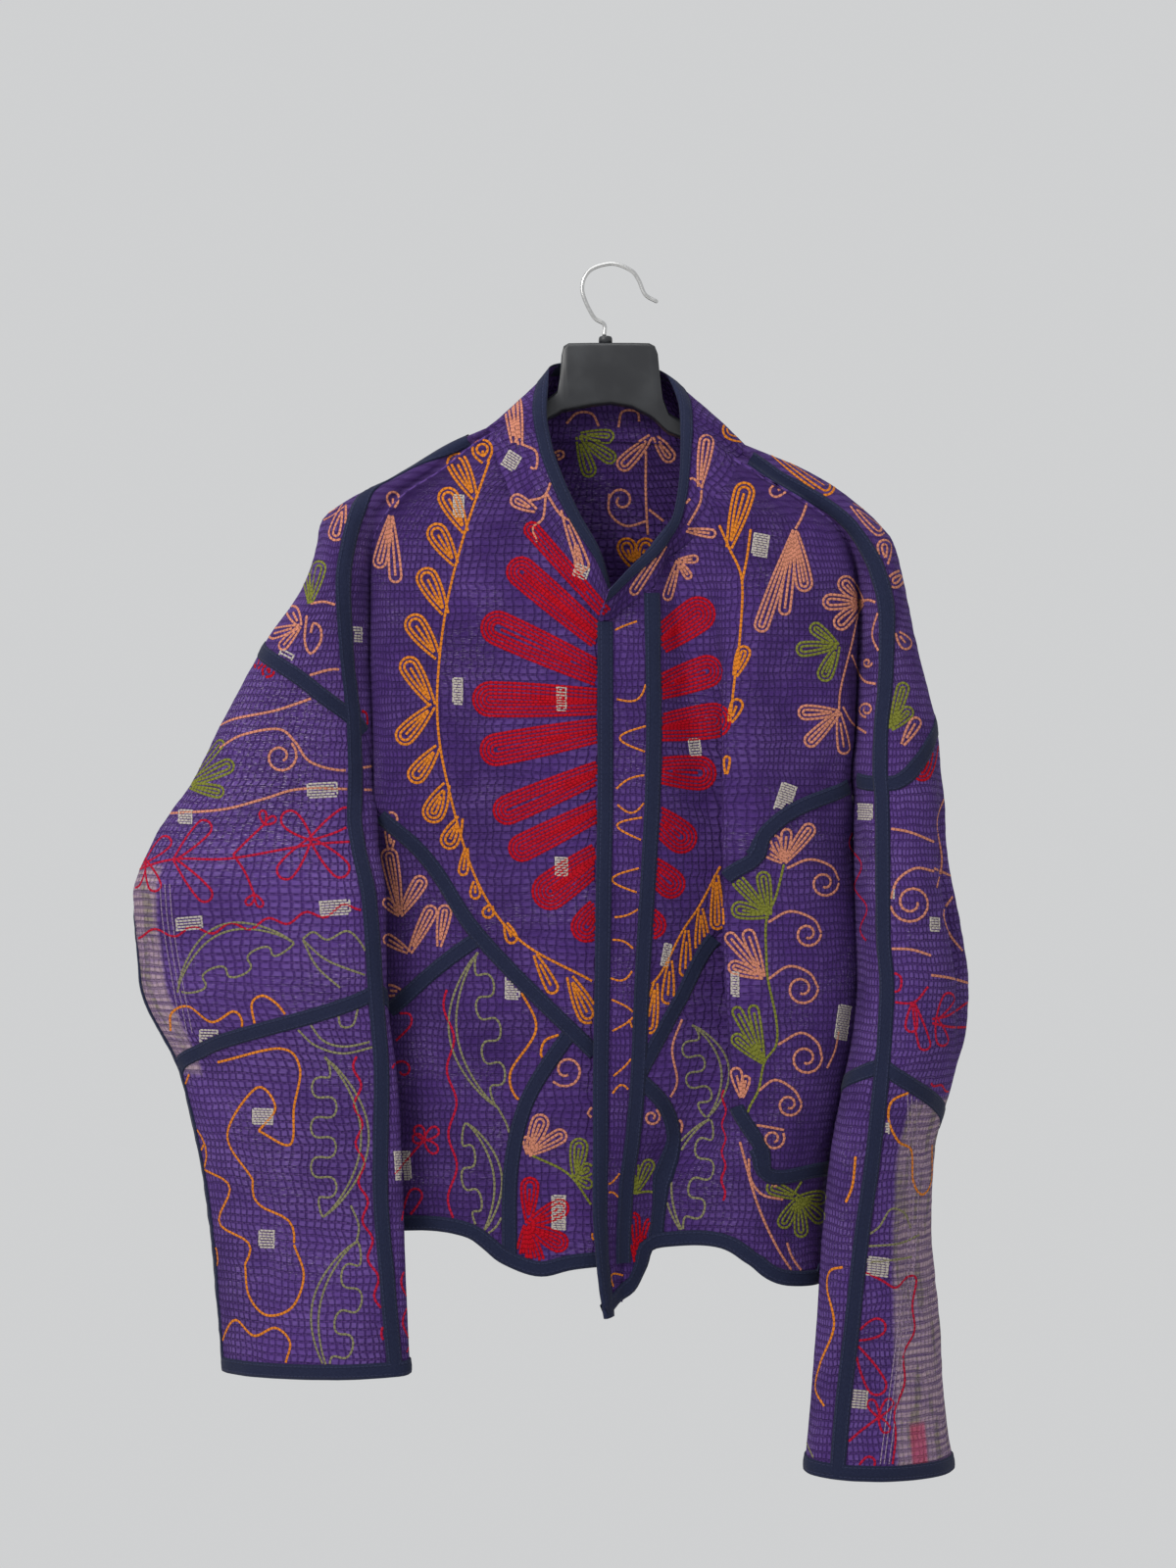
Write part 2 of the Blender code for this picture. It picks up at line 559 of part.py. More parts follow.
class Sheet:
    # A stretch of cloth, meshed so that every seam and trim edge lies along mesh edges.
    def __init__(self, place):
        self.place = place
        self.points = []
        self.edges = []
        self.walls = []
        self.shared = []

    def add(self, line, wall=False, shared=False):
        first = len(self.points)
        self.points += [Vector((p[0], p[1])) for p in line]
        for i in range(first, len(self.points) - 1):
            self.edges.append((i, i + 1))
            self.walls.append(wall)
            self.shared.append(shared)

    def fill(self, columns, drops, inside):
        taken = [self.place(p[0], p[1]) for p in self.points]
        taken += [(taken[a] + taken[b]) / 2 for a, b in self.edges]
        for drop in drops:
            for u in columns:
                if not inside(u, drop):
                    continue
                spot = self.place(u, drop)
                if all((spot - other).length_squared > CLOSEST ** 2 for other in taken):
                    self.points.append(Vector((u, drop)))
                    taken.append(spot)

    def mesh(self):
        flat, edges, faces, sources, edge_sources, _ = delaunay_2d_cdt(
            self.points, self.edges, [], 0, SNAP)
        self.flat = flat
        self.spots = [self.place(p[0], p[1]) for p in flat]
        fence = set()
        for edge, origin in zip(edges, edge_sources):
            walls = [i for i in origin if self.walls[i]]
            if walls:
                fence.add(tuple(sorted(edge)))
            shared = [i for i in origin if self.shared[i]]
            for vertex in edge:
                if shared and not sources[vertex]:
                    self.straighten(vertex, self.edges[shared[0]])
        self.faces = [tuple(face) for face in faces]
        self.regions = self.flood(fence)

    def straighten(self, vertex, ends):
        # A point added on a seam stays on the straight run between the seam's stations.
        a, b = (self.points[i] for i in ends)
        share = (self.flat[vertex] - a).length / (b - a).length
        spots = [self.place(p[0], p[1]) for p in (a, b)]
        self.spots[vertex] = spots[0].lerp(spots[1], share)

    def flood(self, fence):
        owners = {}
        for i, face in enumerate(self.faces):
            for k in range(3):
                owners.setdefault(tuple(sorted((face[k], face[k - 1]))), []).append(i)
        region = [-1] * len(self.faces)
        for start in range(len(self.faces)):
            if region[start] >= 0:
                continue
            stack = [start]
            region[start] = start
            while stack:
                face = self.faces[stack.pop()]
                for k in range(3):
                    edge = tuple(sorted((face[k], face[k - 1])))
                    if edge in fence:
                        continue
                    for other in owners[edge]:
                        if region[other] < 0:
                            region[other] = start
                            stack.append(other)
        return region

    def region_at(self, seed):
        seed = Vector(seed)
        for i, face in enumerate(self.faces):
            a, b, c = (self.flat[v] for v in face)
            turns = [(q - p).cross(seed - p) for p, q in ((a, b), (b, c), (c, a))]
            if min(turns) >= 0 or max(turns) <= 0:
                return self.regions[i]
        raise ValueError("no cloth at %s" % (tuple(seed),))

    def triangles(self, seed):
        region = self.region_at(seed)
        return [[self.spots[v] for v in face] for face, r in zip(self.faces, self.regions) if r == region]


# Turning sheets into solids

def key(spot):
    return tuple(round(value * 20) for value in spot)


class Skin:
    # Area-weighted normals of the outside, shared where neighbouring panels meet.
    def __init__(self, groups, outward):
        totals, spots = {}, {}
        for name, triangles in groups.items():
            for a, b, c in triangles:
                normal = (b - a).cross(c - a) * outward[name]
                for spot in (a, b, c):
                    totals[key(spot)] = totals.get(key(spot), Vector()) + normal
                    spots[key(spot)] = spot
        rough = {k: n.normalized() for k, n in totals.items()}
        self.tree = kdtree.KDTree(len(spots))
        self.order = list(spots)
        for i, k in enumerate(self.order):
            self.tree.insert(spots[k], i)
        self.tree.balance()
        self.normals = {k: self.even_out(spots[k], rough, n) for k, n in rough.items()}

    def even_out(self, spot, rough, normal):
        # Points close together lean the same way.
        total = Vector()
        for _, index, distance in self.tree.find_range(spot, EVEN_REACH):
            other = rough[self.order[index]]
            if other.dot(normal) > 0.3:
                total += other * (1 - distance / EVEN_REACH)
        return total.normalized()

    def normal(self, spot):
        if key(spot) in self.normals:
            return self.normals[key(spot)]
        return self.normals[self.order[self.tree.find(spot)[1]]]


def material(name, colour, roughness, metallic=0.0):
    mat = bpy.data.materials.new(name)
    mat.use_nodes = True
    shader = mat.node_tree.nodes["Principled BSDF"]
    shader.inputs["Base Color"].default_value = (*colour, 1.0)
    shader.inputs["Roughness"].default_value = roughness
    shader.inputs["Metallic"].default_value = metallic
    mat.diffuse_color = (*colour, 1.0)
    return mat


def add_object(name, points, faces, mat, smooth_angle=40.0):
    mesh = bpy.data.meshes.new(name)
    mesh.from_pydata([p * MM for p in points], [], faces)
    work = bmesh.new()
    work.from_mesh(mesh)
    bmesh.ops.recalc_face_normals(work, faces=work.faces)
    if work.calc_volume(signed=True) < 0:
        bmesh.ops.reverse_faces(work, faces=work.faces)
    work.to_mesh(mesh)
    work.free()
    mesh.shade_smooth()
    mesh.set_sharp_from_angle(angle=math.radians(smooth_angle))
    mesh.materials.append(mat)
    obj = bpy.data.objects.new(name, mesh)
    bpy.context.scene.collection.objects.link(obj)
    return obj


def index_triangles(triangles):
    spots, order, faces = [], {}, []
    for triangle in triangles:
        face = []
        for spot in triangle:
            if key(spot) not in order:
                order[key(spot)] = len(spots)
                spots.append(spot)
            face.append(order[key(spot)])
        if len(set(face)) == 3:
            faces.append(tuple(face))
    return spots, faces


def rim_edges(faces):
    seen = {}
    for face in faces:
        for k in range(3):
            a, b = face[k], face[(k + 1) % 3]
            seen[(a, b)] = face
    return {edge: face for edge, face in seen.items() if (edge[1], edge[0]) not in seen}


def draw_in(spots, rim, crowded):
    # Move the rim into its panel, so that neighbours stay apart.
    moves = {}
    for (a, b), face in rim.items():
        c = next(v for v in face if v not in (a, b))
        along = (spots[b] - spots[a]).normalized()
        inward = spots[c] - spots[a]
        inward = (inward - along * inward.dot(along)).normalized()
        for v in (a, b):
            moves.setdefault(v, []).append(inward)
    result = list(spots)
    for v, directions in moves.items():
        total = sum(directions, Vector()).normalized()
        reach = max(0.5, total.dot(directions[0]))
        result[v] = spots[v] + total * (gap_at(spots[v], crowded) / reach)
    return result


def gap_at(spot, crowded):
    # Pieces stop further short where several of them meet in a tight bend.
    gap = SEAM_GAP
    for centre, reach, extra in crowded:
        gap += extra * max(0.0, 1 - (spot - centre).length / reach)
    return gap


def add_panel(name, triangles, skin, mat):
    # A wall of cloth, thickened to the inside.
    spots, faces = index_triangles(triangles)
    outside = [skin.normal(spot) for spot in spots]
    a, b, c = faces[0]
    if (spots[b] - spots[a]).cross(spots[c] - spots[a]).dot(outside[a] + outside[b] + outside[c]) < 0:
        faces = [face[::-1] for face in faces]
    rim = rim_edges(faces)
    outer = draw_in(spots, rim, crowded_spots())
    inner = [spot - normal * WALL for spot, normal in zip(outer, outside)]
    count = len(outer)
    skins = faces + [tuple(v + count for v in reversed(face)) for face in faces]
    sides = []
    for a, b in rim:
        # Neighbouring rims are cut along the same diagonal.
        if key(spots[a]) < key(spots[b]):
            sides += [(b, a, b + count), (a, a + count, b + count)]
        else:
            sides += [(b, a, a + count), (b, a + count, b + count)]
    return add_object(name, outer + inner, skins + sides, mat)


def never(station, side):
    return False


def sweep(name, profiles, mat, closed=False, turned=never):
    # A solid from a row of equal closed profiles. Its quads are cut in two, some along the other diagonal.
    size = len(profiles[0])
    points = [p for profile in profiles for p in profile]
    faces = []
    count = len(profiles)
    for k in range(count if closed else count - 1):
        here, there = k * size, (k + 1) % count * size
        for i in range(size):
            j = (i + 1) % size
            if turned(k, i):
                faces += [(here + i, here + j, there + i), (here + j, there + j, there + i)]
            else:
                faces += [(here + i, here + j, there + j), (here + i, there + j, there + i)]
    if not closed:
        half = size // 2
        for start in (0, (count - 1) * size):
            for i in range(half - 1):
                faces.append((start + i, start + i + 1, start + size - 2 - i, start + size - 1 - i))
    return add_object(name, points, faces, mat)


def add_strip(name, trim, skin, mat):
    # A folded strip of navy cotton, laid over its seam.
    profiles = []
    for station in zip(*trim.rails):
        spots = [trim.place(p[0], p[1]) for p in station]
        ups = [skin.normal(spot) for spot in spots]
        top = [s + n * (TRIM_LIFT + TRIM_THICK) for s, n in zip(spots, ups)]
        low = [s + n * TRIM_LIFT for s, n in zip(spots, ups)]
        profiles.append(top + low[::-1])

    def turned(k, i):
        # The strip is cut along the same diagonals as the cloth under it.
        cell = {0: 0, 4: 0, 1: 1, 3: 1}.get(i)
        if cell is None:
            return False
        left, right = trim.rails[cell], trim.rails[cell + 1]
        crossed = (left[k] - right[k + 1]).length > (right[k] - left[k + 1]).length
        return crossed if i < 2 else not crossed

    return sweep(name, profiles, mat, turned=turned)


def end_gaps(stations):
    # Both ends stop a little short, so that bindings do not run into each other.
    stations = list(stations)
    for end, near in ((0, 1), (-1, -2)):
        line, edge, line_up, edge_up = stations[end]
        back = (stations[near][1] - edge).normalized() * END_GAP
        stations[end] = (line + back, edge + back, line_up, edge_up)
    return stations


def add_binding(name, stations, mat, closed=False, short=True):
    # A binding folded round an edge. A station is the inner line, the edge and their normals.
    profiles = []
    near, far = BINDING_LIFT, BINDING_LIFT + TRIM_THICK
    if short and not closed:
        stations = end_gaps(stations)
    for line, edge, line_up, edge_up in stations:
        out = (edge - line).normalized()
        top = [line + line_up * far, edge + edge_up * far + out * far,
               edge - edge_up * (WALL + far) + out * far, line - line_up * (WALL + far)]
        low = [line + line_up * near, edge + edge_up * near + out * near,
               edge - edge_up * (WALL + near) + out * near, line - line_up * (WALL + near)]
        profiles.append(top + low[::-1])
    if closed:
        profiles.pop()
    return sweep(name, profiles, mat, closed, turned=lambda k, i: i in (2, 6))


def edge_stations(place, edge, line, skin):
    stations = []
    for e, n in zip(edge, line):
        spots = place(n[0], n[1]), place(e[0], e[1])
        stations.append((spots[0], spots[1], skin.normal(spots[0]), skin.normal(spots[1])))
    return stations


def drops_between(first, last, step=ROW_STEP):
    count = max(1, round(abs(last - first) / step))
    return [first + (last - first) * i / count for i in range(count + 1)]


def straight(u, first, last, step=ROW_STEP):
    return [Vector((u, drop)) for drop in drops_between(first, last, step)]


# Seams of the shoulders and sleeves

def sleeve_place(side):
    def place(a, drop):
        return arm_point(side, a * 360.0 / ARM, drop)
    return place


def under_seam_a(side, drop):
    return at(UNDER_SEAM[side], "angle", drop) * ARM / 360.0


def top_a(side, drop):
    return top_angle(side, drop) * ARM / 360.0


def shift(line, amount):
    return [Vector((p[0] + amount, p[1])) for p in line]


def nearest(line, spot):
    return min(line, key=lambda p: (p - Vector(spot)).length)


def whole_seam(path, line, place, spacing=6.0):
    # The stations of a strip's middle, run on along its path to both ends of the seam.
    i = min(range(len(path)), key=lambda k: (path[k] - line[0]).length)
    j = min(range(len(path)), key=lambda k: (path[k] - line[-1]).length)
    before = resample(path[:i] + [line[0]], place, spacing)[:-1] if i > 1 else []
    after = resample([line[-1]] + path[j + 1:], place, spacing)[1:] if j < len(path) - 2 else []
    return before + line + after


class Arm:
    # The edges, seams and strips of one shoulder and sleeve, on the sleeve's cut.
    def __init__(self, side):
        self.side = side
        self.place = sleeve_place(side)
        self.under_drop = UNDERARM[side]
        self.make_cuff()
        self.make_top()
        self.make_armhole()
        self.make_under()
        self.make_elbow()

    def to_body(self, line):
        return [Vector((self.side * (TORSO + ARM - p[0]), p[1])) for p in line]

    def armhole_at(self, a):
        return Vector((a, at(ARMHOLE[self.side], "drop", a * 360.0 / ARM, "angle")))

    def under_at(self, drop):
        return Vector((under_seam_a(self.side, drop), drop))

    def cuff_at(self, a, lift=0.0):
        inner, outer = CUFF[self.side]
        share = (1 - math.cos(a * 2 * math.pi / ARM)) / 2
        return Vector((a, inner + (outer - inner) * share - lift))

    def make_cuff(self):
        last = under_seam_a(self.side, CUFF[self.side][1])
        spots = [last - ARM + ARM * i / CUFF_STATIONS for i in range(CUFF_STATIONS + 1)]
        self.cuff = [self.cuff_at(a) for a in spots]
        self.cuff_inner = [self.cuff_at(a, BINDING_WIDTH) for a in spots]
        self.cuff_fence = self.cuff_inner + shift(self.cuff_inner[1:], ARM)

    def make_top(self):
        drops = drops_between(TOP_START[self.side], self.cuff[0][1], 6.0)
        line = [Vector((top_a(self.side, d), d)) for d in drops]
        self.top = Trim(line, self.place, last=[self.cuff_fence], spacing=TOP_STATION)
        above, below = TOP_START[self.side] - SEAM_RUN, self.cuff[0][1] + SEAM_RUN
        self.top_seam = self.top.seam([(top_a(self.side, above), above)], [(top_a(self.side, below), below)])

    def make_armhole(self):
        fences = self.top.fences()
        cross = next(a for a in range(1, int(ARM)) if self.armhole_at(a)[1] > 0
                     and a > top_a(self.side, self.armhole_at(a)[1]))
        front = [self.armhole_at(a) for a in drops_between(ARMHOLE_START, cross, 4.0)]
        back = [self.armhole_at(a) for a in drops_between(cross, ARM - ARMHOLE_START, 4.0)]
        self.hole_front = Trim(front, self.place, last=fences, spacing=FINE_STATION)
        self.hole_back = Trim(back, self.place, first=fences, spacing=FINE_STATION)
        self.holes = [self.hole_back] if self.side == LEFT else [self.hole_front, self.hole_back]
        before = [self.armhole_at(a) for a in drops_between(0, ARMHOLE_START, 13.0)[:-1]]
        after = [self.armhole_at(ARM - p[0]) for p in before[::-1]]
        self.armhole = before + self.hole_front.rails[1] + self.hole_back.rails[1] + after

    def make_under(self):
        start = self.under_drop + UNDER_STRIP_START
        line = [self.under_at(d) for d in drops_between(start, self.cuff[0][1] + 2, 6.0)]
        self.under = Trim(line, self.place, last=[self.cuff_fence])
        first = [self.under_at(d) for d in drops_between(self.under_drop, start, 12.0)[:-1]]
        self.under_seam = self.under.seam(first, [self.cuff[-1]])

    def make_elbow(self):
        top, end = ELBOW[self.side]
        high = nearest(self.top.rails[1], (top_a(self.side, top), top))
        low = nearest(self.under.rails[1], (under_seam_a(self.side, end), end))
        back = self.elbow_path(high, low)
        front = self.elbow_path(low - Vector((ARM, 0)), high)
        tops, unders = self.top.fences(), self.under.fences()
        self.elbow_back = Trim(back, self.place, tops, unders, spacing=TOP_STATION)
        self.elbow_front = Trim(front, self.place, [shift(f, -ARM) for f in unders], tops,
                                spacing=TOP_STATION)
        self.elbow_walls = [whole_seam(back, self.elbow_back.rails[1], self.place),
                            whole_seam(front, self.elbow_front.rails[1], self.place)]

    def elbow_path(self, start, end):
        count = 60
        return [start.lerp(end, i / count) for i in range(count + 1)]

    def build_sheet(self):
        side, low = self.side, max(CUFF[self.side])
        sheet = Sheet(self.place)
        sheet.add(self.armhole, wall=True, shared=True)
        sheet.add(self.under_seam, wall=True, shared=True)
        sheet.add(shift(self.under_seam, -ARM), wall=True, shared=True)
        sheet.add(self.cuff, wall=True, shared=True)
        sheet.add(self.cuff_inner)
        sheet.add(self.top_seam, wall=True)
        for wall in self.elbow_walls:
            sheet.add(wall, wall=True)
        for trim in (self.top, self.elbow_back, self.elbow_front):
            for rail in trim.fences():
                sheet.add(rail)
        for trim in self.holes:
            sheet.add(trim.rails[2])
        sheet.add(shift(self.under.rails[0], -ARM))
        sheet.add(self.under.rails[2])
        columns = [ARM * i / ARM_COLUMNS for i in range(-ARM_COLUMNS, ARM_COLUMNS + 1)]
        sheet.fill(columns, drops_between(SLEEVE_ROWS_START, low - BINDING_WIDTH, ROW_STEP), self.inside)
        sheet.mesh()
        return sheet

    def inside(self, a, drop):
        if drop < self.under_drop:
            return 0 < a < ARM and drop > self.armhole_at(a)[1]
        under = under_seam_a(self.side, drop)
        return under - ARM < a < under


# Seams of the body

def left_line(points):
    return [Vector(left_front_at(x, drop)) for x, drop in points]


def side_line(points):
    return [Vector(right_side_at(x, drop)) for x, drop in points]


def middle_line(points):
    return [Vector(right_middle_at(x, drop)) for x, drop in points]


def split_at(line, low, high):
    # The part of a line between two places across the cut.
    result = []
    for a, b in zip(line, line[1:]):
        for cut in (low, high):
            if a[0] < cut < b[0]:
                result.append(a.lerp(b, (cut - a[0]) / (b[0] - a[0])))
        if low <= b[0] <= high:
            result.append(b)
    if line[0][0] >= low:
        result.insert(0, line[0])
    return result


class Body:
    # The fronts and the back in one cut, u across it and the drop down it.
    def __init__(self, arms):
        self.arms = arms
        self.make_neck()
        self.make_hems()
        self.make_left_strips()
        self.make_right_strips()

    def make_neck(self):
        left, right = self.arms[LEFT], self.arms[RIGHT]
        over_left = [(arm_u(LEFT, angle), drop) for angle, drop in LEFT_SHOULDER_NECK]
        over_right = [(arm_u(RIGHT, angle), drop) for angle, drop in RIGHT_SHOULDER_NECK]
        over_front = [right_neck_at(x, drop) for x, drop in RIGHT_NECK[::-1]]
        line = [(-LEFT_EDGE, LEFT_NECK[0][1] + NECK_UNDER)] + left_line(LEFT_NECK)
        line += over_left + [(0, BACK_NECK)] + over_right
        line += over_front + [(RIGHT_EDGE, RIGHT_NECK[0][1] + NECK_OVER)]
        self.neck = resample(spline(line, 6.0), body_point, 17.0)

    def make_hems(self):
        left = spline([(-LEFT_EDGE, LEFT_HEM[0][1])] + left_line(LEFT_HEM[1:-1])
                      + [(-SIDE_U, LEFT_HEM[-1][1])])
        back = spline([(-TORSO, BACK_HEM[0][1]), (0, BACK_HEM[1][1]), (TORSO, BACK_HEM[2][1])])
        right = spline([(SIDE_U, BACK_HEM[2][1])] + side_line(RIGHT_HEM[:3:-1])
                       + middle_line(RIGHT_HEM[3:0:-1]) + [(RIGHT_EDGE, RIGHT_HEM[0][1])])
        self.hems = [resample(line, body_point, 20.0) for line in (left, back)]
        cuts = (SIDE_U, RIGHT_EDGE - FOLD_START, RIGHT_EDGE - PLACKET, RIGHT_EDGE)
        pieces = [split_at(right, low, high) for low, high in zip(cuts, cuts[1:])]
        pieces = [resample(piece, body_point, 15.0) for piece in pieces]
        self.hems.append(pieces[0] + pieces[1][1:] + pieces[2][1:])
        self.hem_inner = [[p - Vector((0, BINDING_WIDTH)) for p in line] for line in self.hems]

    def make_left_strips(self):
        hem = [self.hem_inner[0]]
        path = spline([(-SIDE_U, LEFT_DIAGONAL_END)] + left_line(LEFT_DIAGONAL))
        self.left_diagonal = Trim([p for p in path if p[0] < -SIDE_U - STRIP_SHORT], body_point)
        start = nearest(self.left_diagonal.rails[1], left_line(LEFT_BRANCH[:1])[0])
        fences = self.left_diagonal.fences()
        branch = spline([start] + left_line(LEFT_BRANCH[1:]) + [(-SIDE_U, LEFT_BRANCH_END)])
        self.left_branch = Trim([p for p in branch if p[0] < -SIDE_U - STRIP_SHORT], body_point, fences)
        corner_start = nearest(self.left_diagonal.rails[1], left_line(LEFT_CORNER[:1])[0])
        corner = spline([corner_start] + left_line(LEFT_CORNER[1:]))
        self.left_corner = Trim(corner, body_point, fences, hem)
        edge = (-LEFT_EDGE - PAST, LEFT_DIAGONAL[-1][1] + DIAGONAL_UNDER)
        below = left_line([(LEFT_CORNER[-1][0], LEFT_CORNER[-1][1] + CORNER_RUN)])
        self.walls = [whole_seam(path, self.left_diagonal.rails[1], body_point) + [Vector(edge)],
                      whole_seam(branch, self.left_branch.rails[1], body_point),
                      self.left_corner.seam([corner_start], below)]

    def make_right_strips(self):
        hem = [self.hem_inner[2]]
        drops = drops_between(self.neck[-1][1] - NECK_RISE, RIGHT_HEM[0][1], 6.0)
        seam = [Vector((SEAM_U, drop)) for drop in drops]
        self.placket_strip = Trim(seam, body_point, [self.neck_strip_fence()], hem)
        placket = self.placket_strip.fences()
        path = spline([(SIDE_U, RIGHT_DIAGONAL_END)] + side_line(RIGHT_DIAGONAL_SIDE)
                      + [(FOLD_U, FOLD_DIAGONAL)] + middle_line(RIGHT_DIAGONAL_MIDDLE)
                      + [(SEAM_U, DIAGONAL_MEETS)])
        beside = [p for p in path if SIDE_U + SHORT_RIGHT < p[0] < FOLD_OUT]
        self.right_diagonal_side = Trim(beside, body_point)
        self.right_diagonal = Trim([p for p in path if p[0] > FOLD_IN], body_point, last=placket)
        inside = [p for p in path if FOLD_OUT < p[0] < FOLD_IN][::2]
        fences = self.right_diagonal.fences()
        start = self.right_diagonal.rails[1][0]
        branch = spline([start, Vector((FOLD_IN, start[1])) + BRANCH_STEP, (FOLD_U, FOLD_BRANCH)]
                        + side_line(RIGHT_BRANCH_SIDE) + [(SIDE_U, RIGHT_BRANCH_END)])
        self.right_branch = Trim([p for p in branch if SIDE_U + SHORT_RIGHT < p[0] < FOLD_OUT], body_point)
        hidden = [p for p in branch if p[0] >= FOLD_OUT][::2]
        corner_start = nearest(self.right_diagonal.rails[1], middle_line(RIGHT_CORNER[:1])[0])
        corner = spline([corner_start] + middle_line(RIGHT_CORNER[1:]))
        self.right_corner = Trim(corner, body_point, fences + placket, hem)
        below = middle_line([(RIGHT_CORNER[-1][0], RIGHT_CORNER[-1][1] + CORNER_RUN)])
        self.walls += [self.placket_strip.seam([(SEAM_U, SEAM_TOP)], [(SEAM_U, SEAM_END)]),
                       whole_seam(path[:path.index(inside[0])], self.right_diagonal_side.rails[1], body_point)
                       + inside + self.right_diagonal.seam([], [(SEAM_U + PAST, DIAGONAL_MEETS + PAST)]),
                       hidden + whole_seam([p for p in branch if p[0] < FOLD_OUT],
                                           self.right_branch.rails[1], body_point),
                       self.right_corner.seam([corner_start], below)]

    def neck_strip_fence(self):
        return [p + Vector((0, 6)) for p in self.neck if p[0] > SIDE_U]

    def strips(self):
        return [self.left_diagonal, self.left_branch, self.left_corner, self.placket_strip,
                self.right_diagonal_side, self.right_diagonal, self.right_branch, self.right_corner]

    def build_sheet(self):
        sheet = Sheet(body_point)
        left_hem, back_hem, right_hem = self.hems
        sheet.add(self.neck, wall=True, shared=True)
        self.placket_edge = straight(RIGHT_EDGE, self.neck[-1][1], right_hem[-1][1])
        sheet.add(self.placket_edge, wall=True)
        sheet.add([p - Vector((BINDING_WIDTH, 0)) for p in self.placket_edge])
        sheet.add(straight(-LEFT_EDGE, self.neck[0][1], left_hem[0][1]), wall=True)
        for side, drop in ((LEFT, left_hem[-1][1]), (RIGHT, right_hem[0][1])):
            under = UNDERARM[side]
            sheet.add(straight(side * SIDE_U, under, drop), wall=True, shared=True)
            sheet.add(straight(side * TORSO, under, drop), wall=True, shared=True)
            sheet.add(straight(side * SIDE_U, SIDE_RAIL_TOP, under))
            sheet.add(straight(side * TORSO, SIDE_RAIL_TOP, under))
            arm = self.arms[side]
            sheet.add(arm.to_body(arm.armhole), wall=True, shared=True)
            sheet.add(arm.to_body(arm.top_seam), wall=True)
            for rail in arm.top.fences() + [trim.rails[0] for trim in arm.holes]:
                sheet.add(arm.to_body(rail))
        for line, inner in zip(self.hems, self.hem_inner):
            sheet.add(line, wall=True, shared=True)
            sheet.add(inner)
        for wall in self.walls:
            sheet.add(wall, wall=True)
        for trim in self.strips():
            for rail in trim.fences():
                sheet.add(rail)
        drops = drops_between(FIRST_ROW, SHOULDER_END, SHOULDER_ROW)
        drops += drops_between(CHEST_ROW, LAST_ROW, ROW_STEP)
        sheet.fill(BODY_COLUMNS, drops, self.inside)
        sheet.mesh()
        return sheet

    def inside(self, u, drop):
        across = abs(u)
        if not TORSO < across < SIDE_U:
            return True
        arm = self.arms[LEFT if u < 0 else RIGHT]
        return drop < arm.armhole_at(SIDE_U - across)[1]


# Collar and hanger

def collar_grid(neck, skin):
    # Rows of points from the neck seam up to the edge, one list for each station.
    spots = [body_point(p[0], p[1]) for p in neck]
    lengths = [0.0]
    for a, b in zip(spots, spots[1:]):
        lengths.append(lengths[-1] + (b - a).length)
    grid = []
    for spot, length in zip(spots, lengths):
        share = length / lengths[-1]
        edge = Vector((at(COLLAR_EDGE, "x", share, "share"), at(COLLAR_EDGE, "y", share, "share"),
                       -at(COLLAR_EDGE, "drop", share, "share")))
        rise = edge - spot
        out = skin.normal(spot)
        out = (out - rise * (out.dot(rise) / rise.length_squared)).normalized()
        start = spot + rise.normalized() * COLLAR_LIFT
        rows = COLLAR_ROWS + (1 - COLLAR_BINDING / rise.length, 1)
        grid.append([start.lerp(edge, t) + out * (COLLAR_BULGE * math.sin(math.pi * t)) for t in rows])
    return grid


def grid_triangles(grid):
    triangles = []
    for here, there in zip(grid, grid[1:]):
        for j in range(len(here) - 1):
            triangles.append([here[j], there[j], there[j + 1]])
            triangles.append([here[j], there[j + 1], here[j + 1]])
    return triangles


def add_collar(neck, body_skin, cotton, navy):
    grid = collar_grid(neck, body_skin)
    triangles = grid_triangles(grid)
    skin = Skin({"collar": triangles}, {"collar": -1})
    add_panel("collar", triangles, skin, cotton)
    stations = [(rows[-2], rows[-1], skin.normal(rows[-2]), skin.normal(rows[-1])) for rows in grid]
    add_binding("collar_binding", stations, navy, short=False)


def ridge_drop(x):
    # Drop of the shoulder's ridge, for a place well out from the neck.
    rows = LEVELS[LEFT if x < 0 else RIGHT]
    low, high = rows["drop"][0], SHOULDER_LAST
    for _ in range(30):
        middle = (low + high) / 2
        if at(rows, "edge", middle) < abs(x):
            low = middle
        else:
            high = middle
    return low


def arm_row(x):
    top = ridge_drop(x) + HANGER_UNDER + HANGER_FALL * max(0.0, abs(x) - HANGER_FALL_START)
    return x, top, top + HANGER_BAR, HANGER_HALF


def hanger_section(x, top, bottom, half):
    drop = (top + bottom) / 2
    y = at(LEVELS[LEFT if x < 0 else RIGHT], "arm_y", drop)
    soft = min(HANGER_SOFT, (bottom - top) / 3)
    outline = [(-half + soft, top), (half - soft, top), (half, top + soft), (half, bottom - soft),
               (half - soft, bottom), (-half + soft, bottom), (-half, bottom - soft), (-half, top + soft)]
    return [Vector((x, y + across, -down)) for across, down in outline]


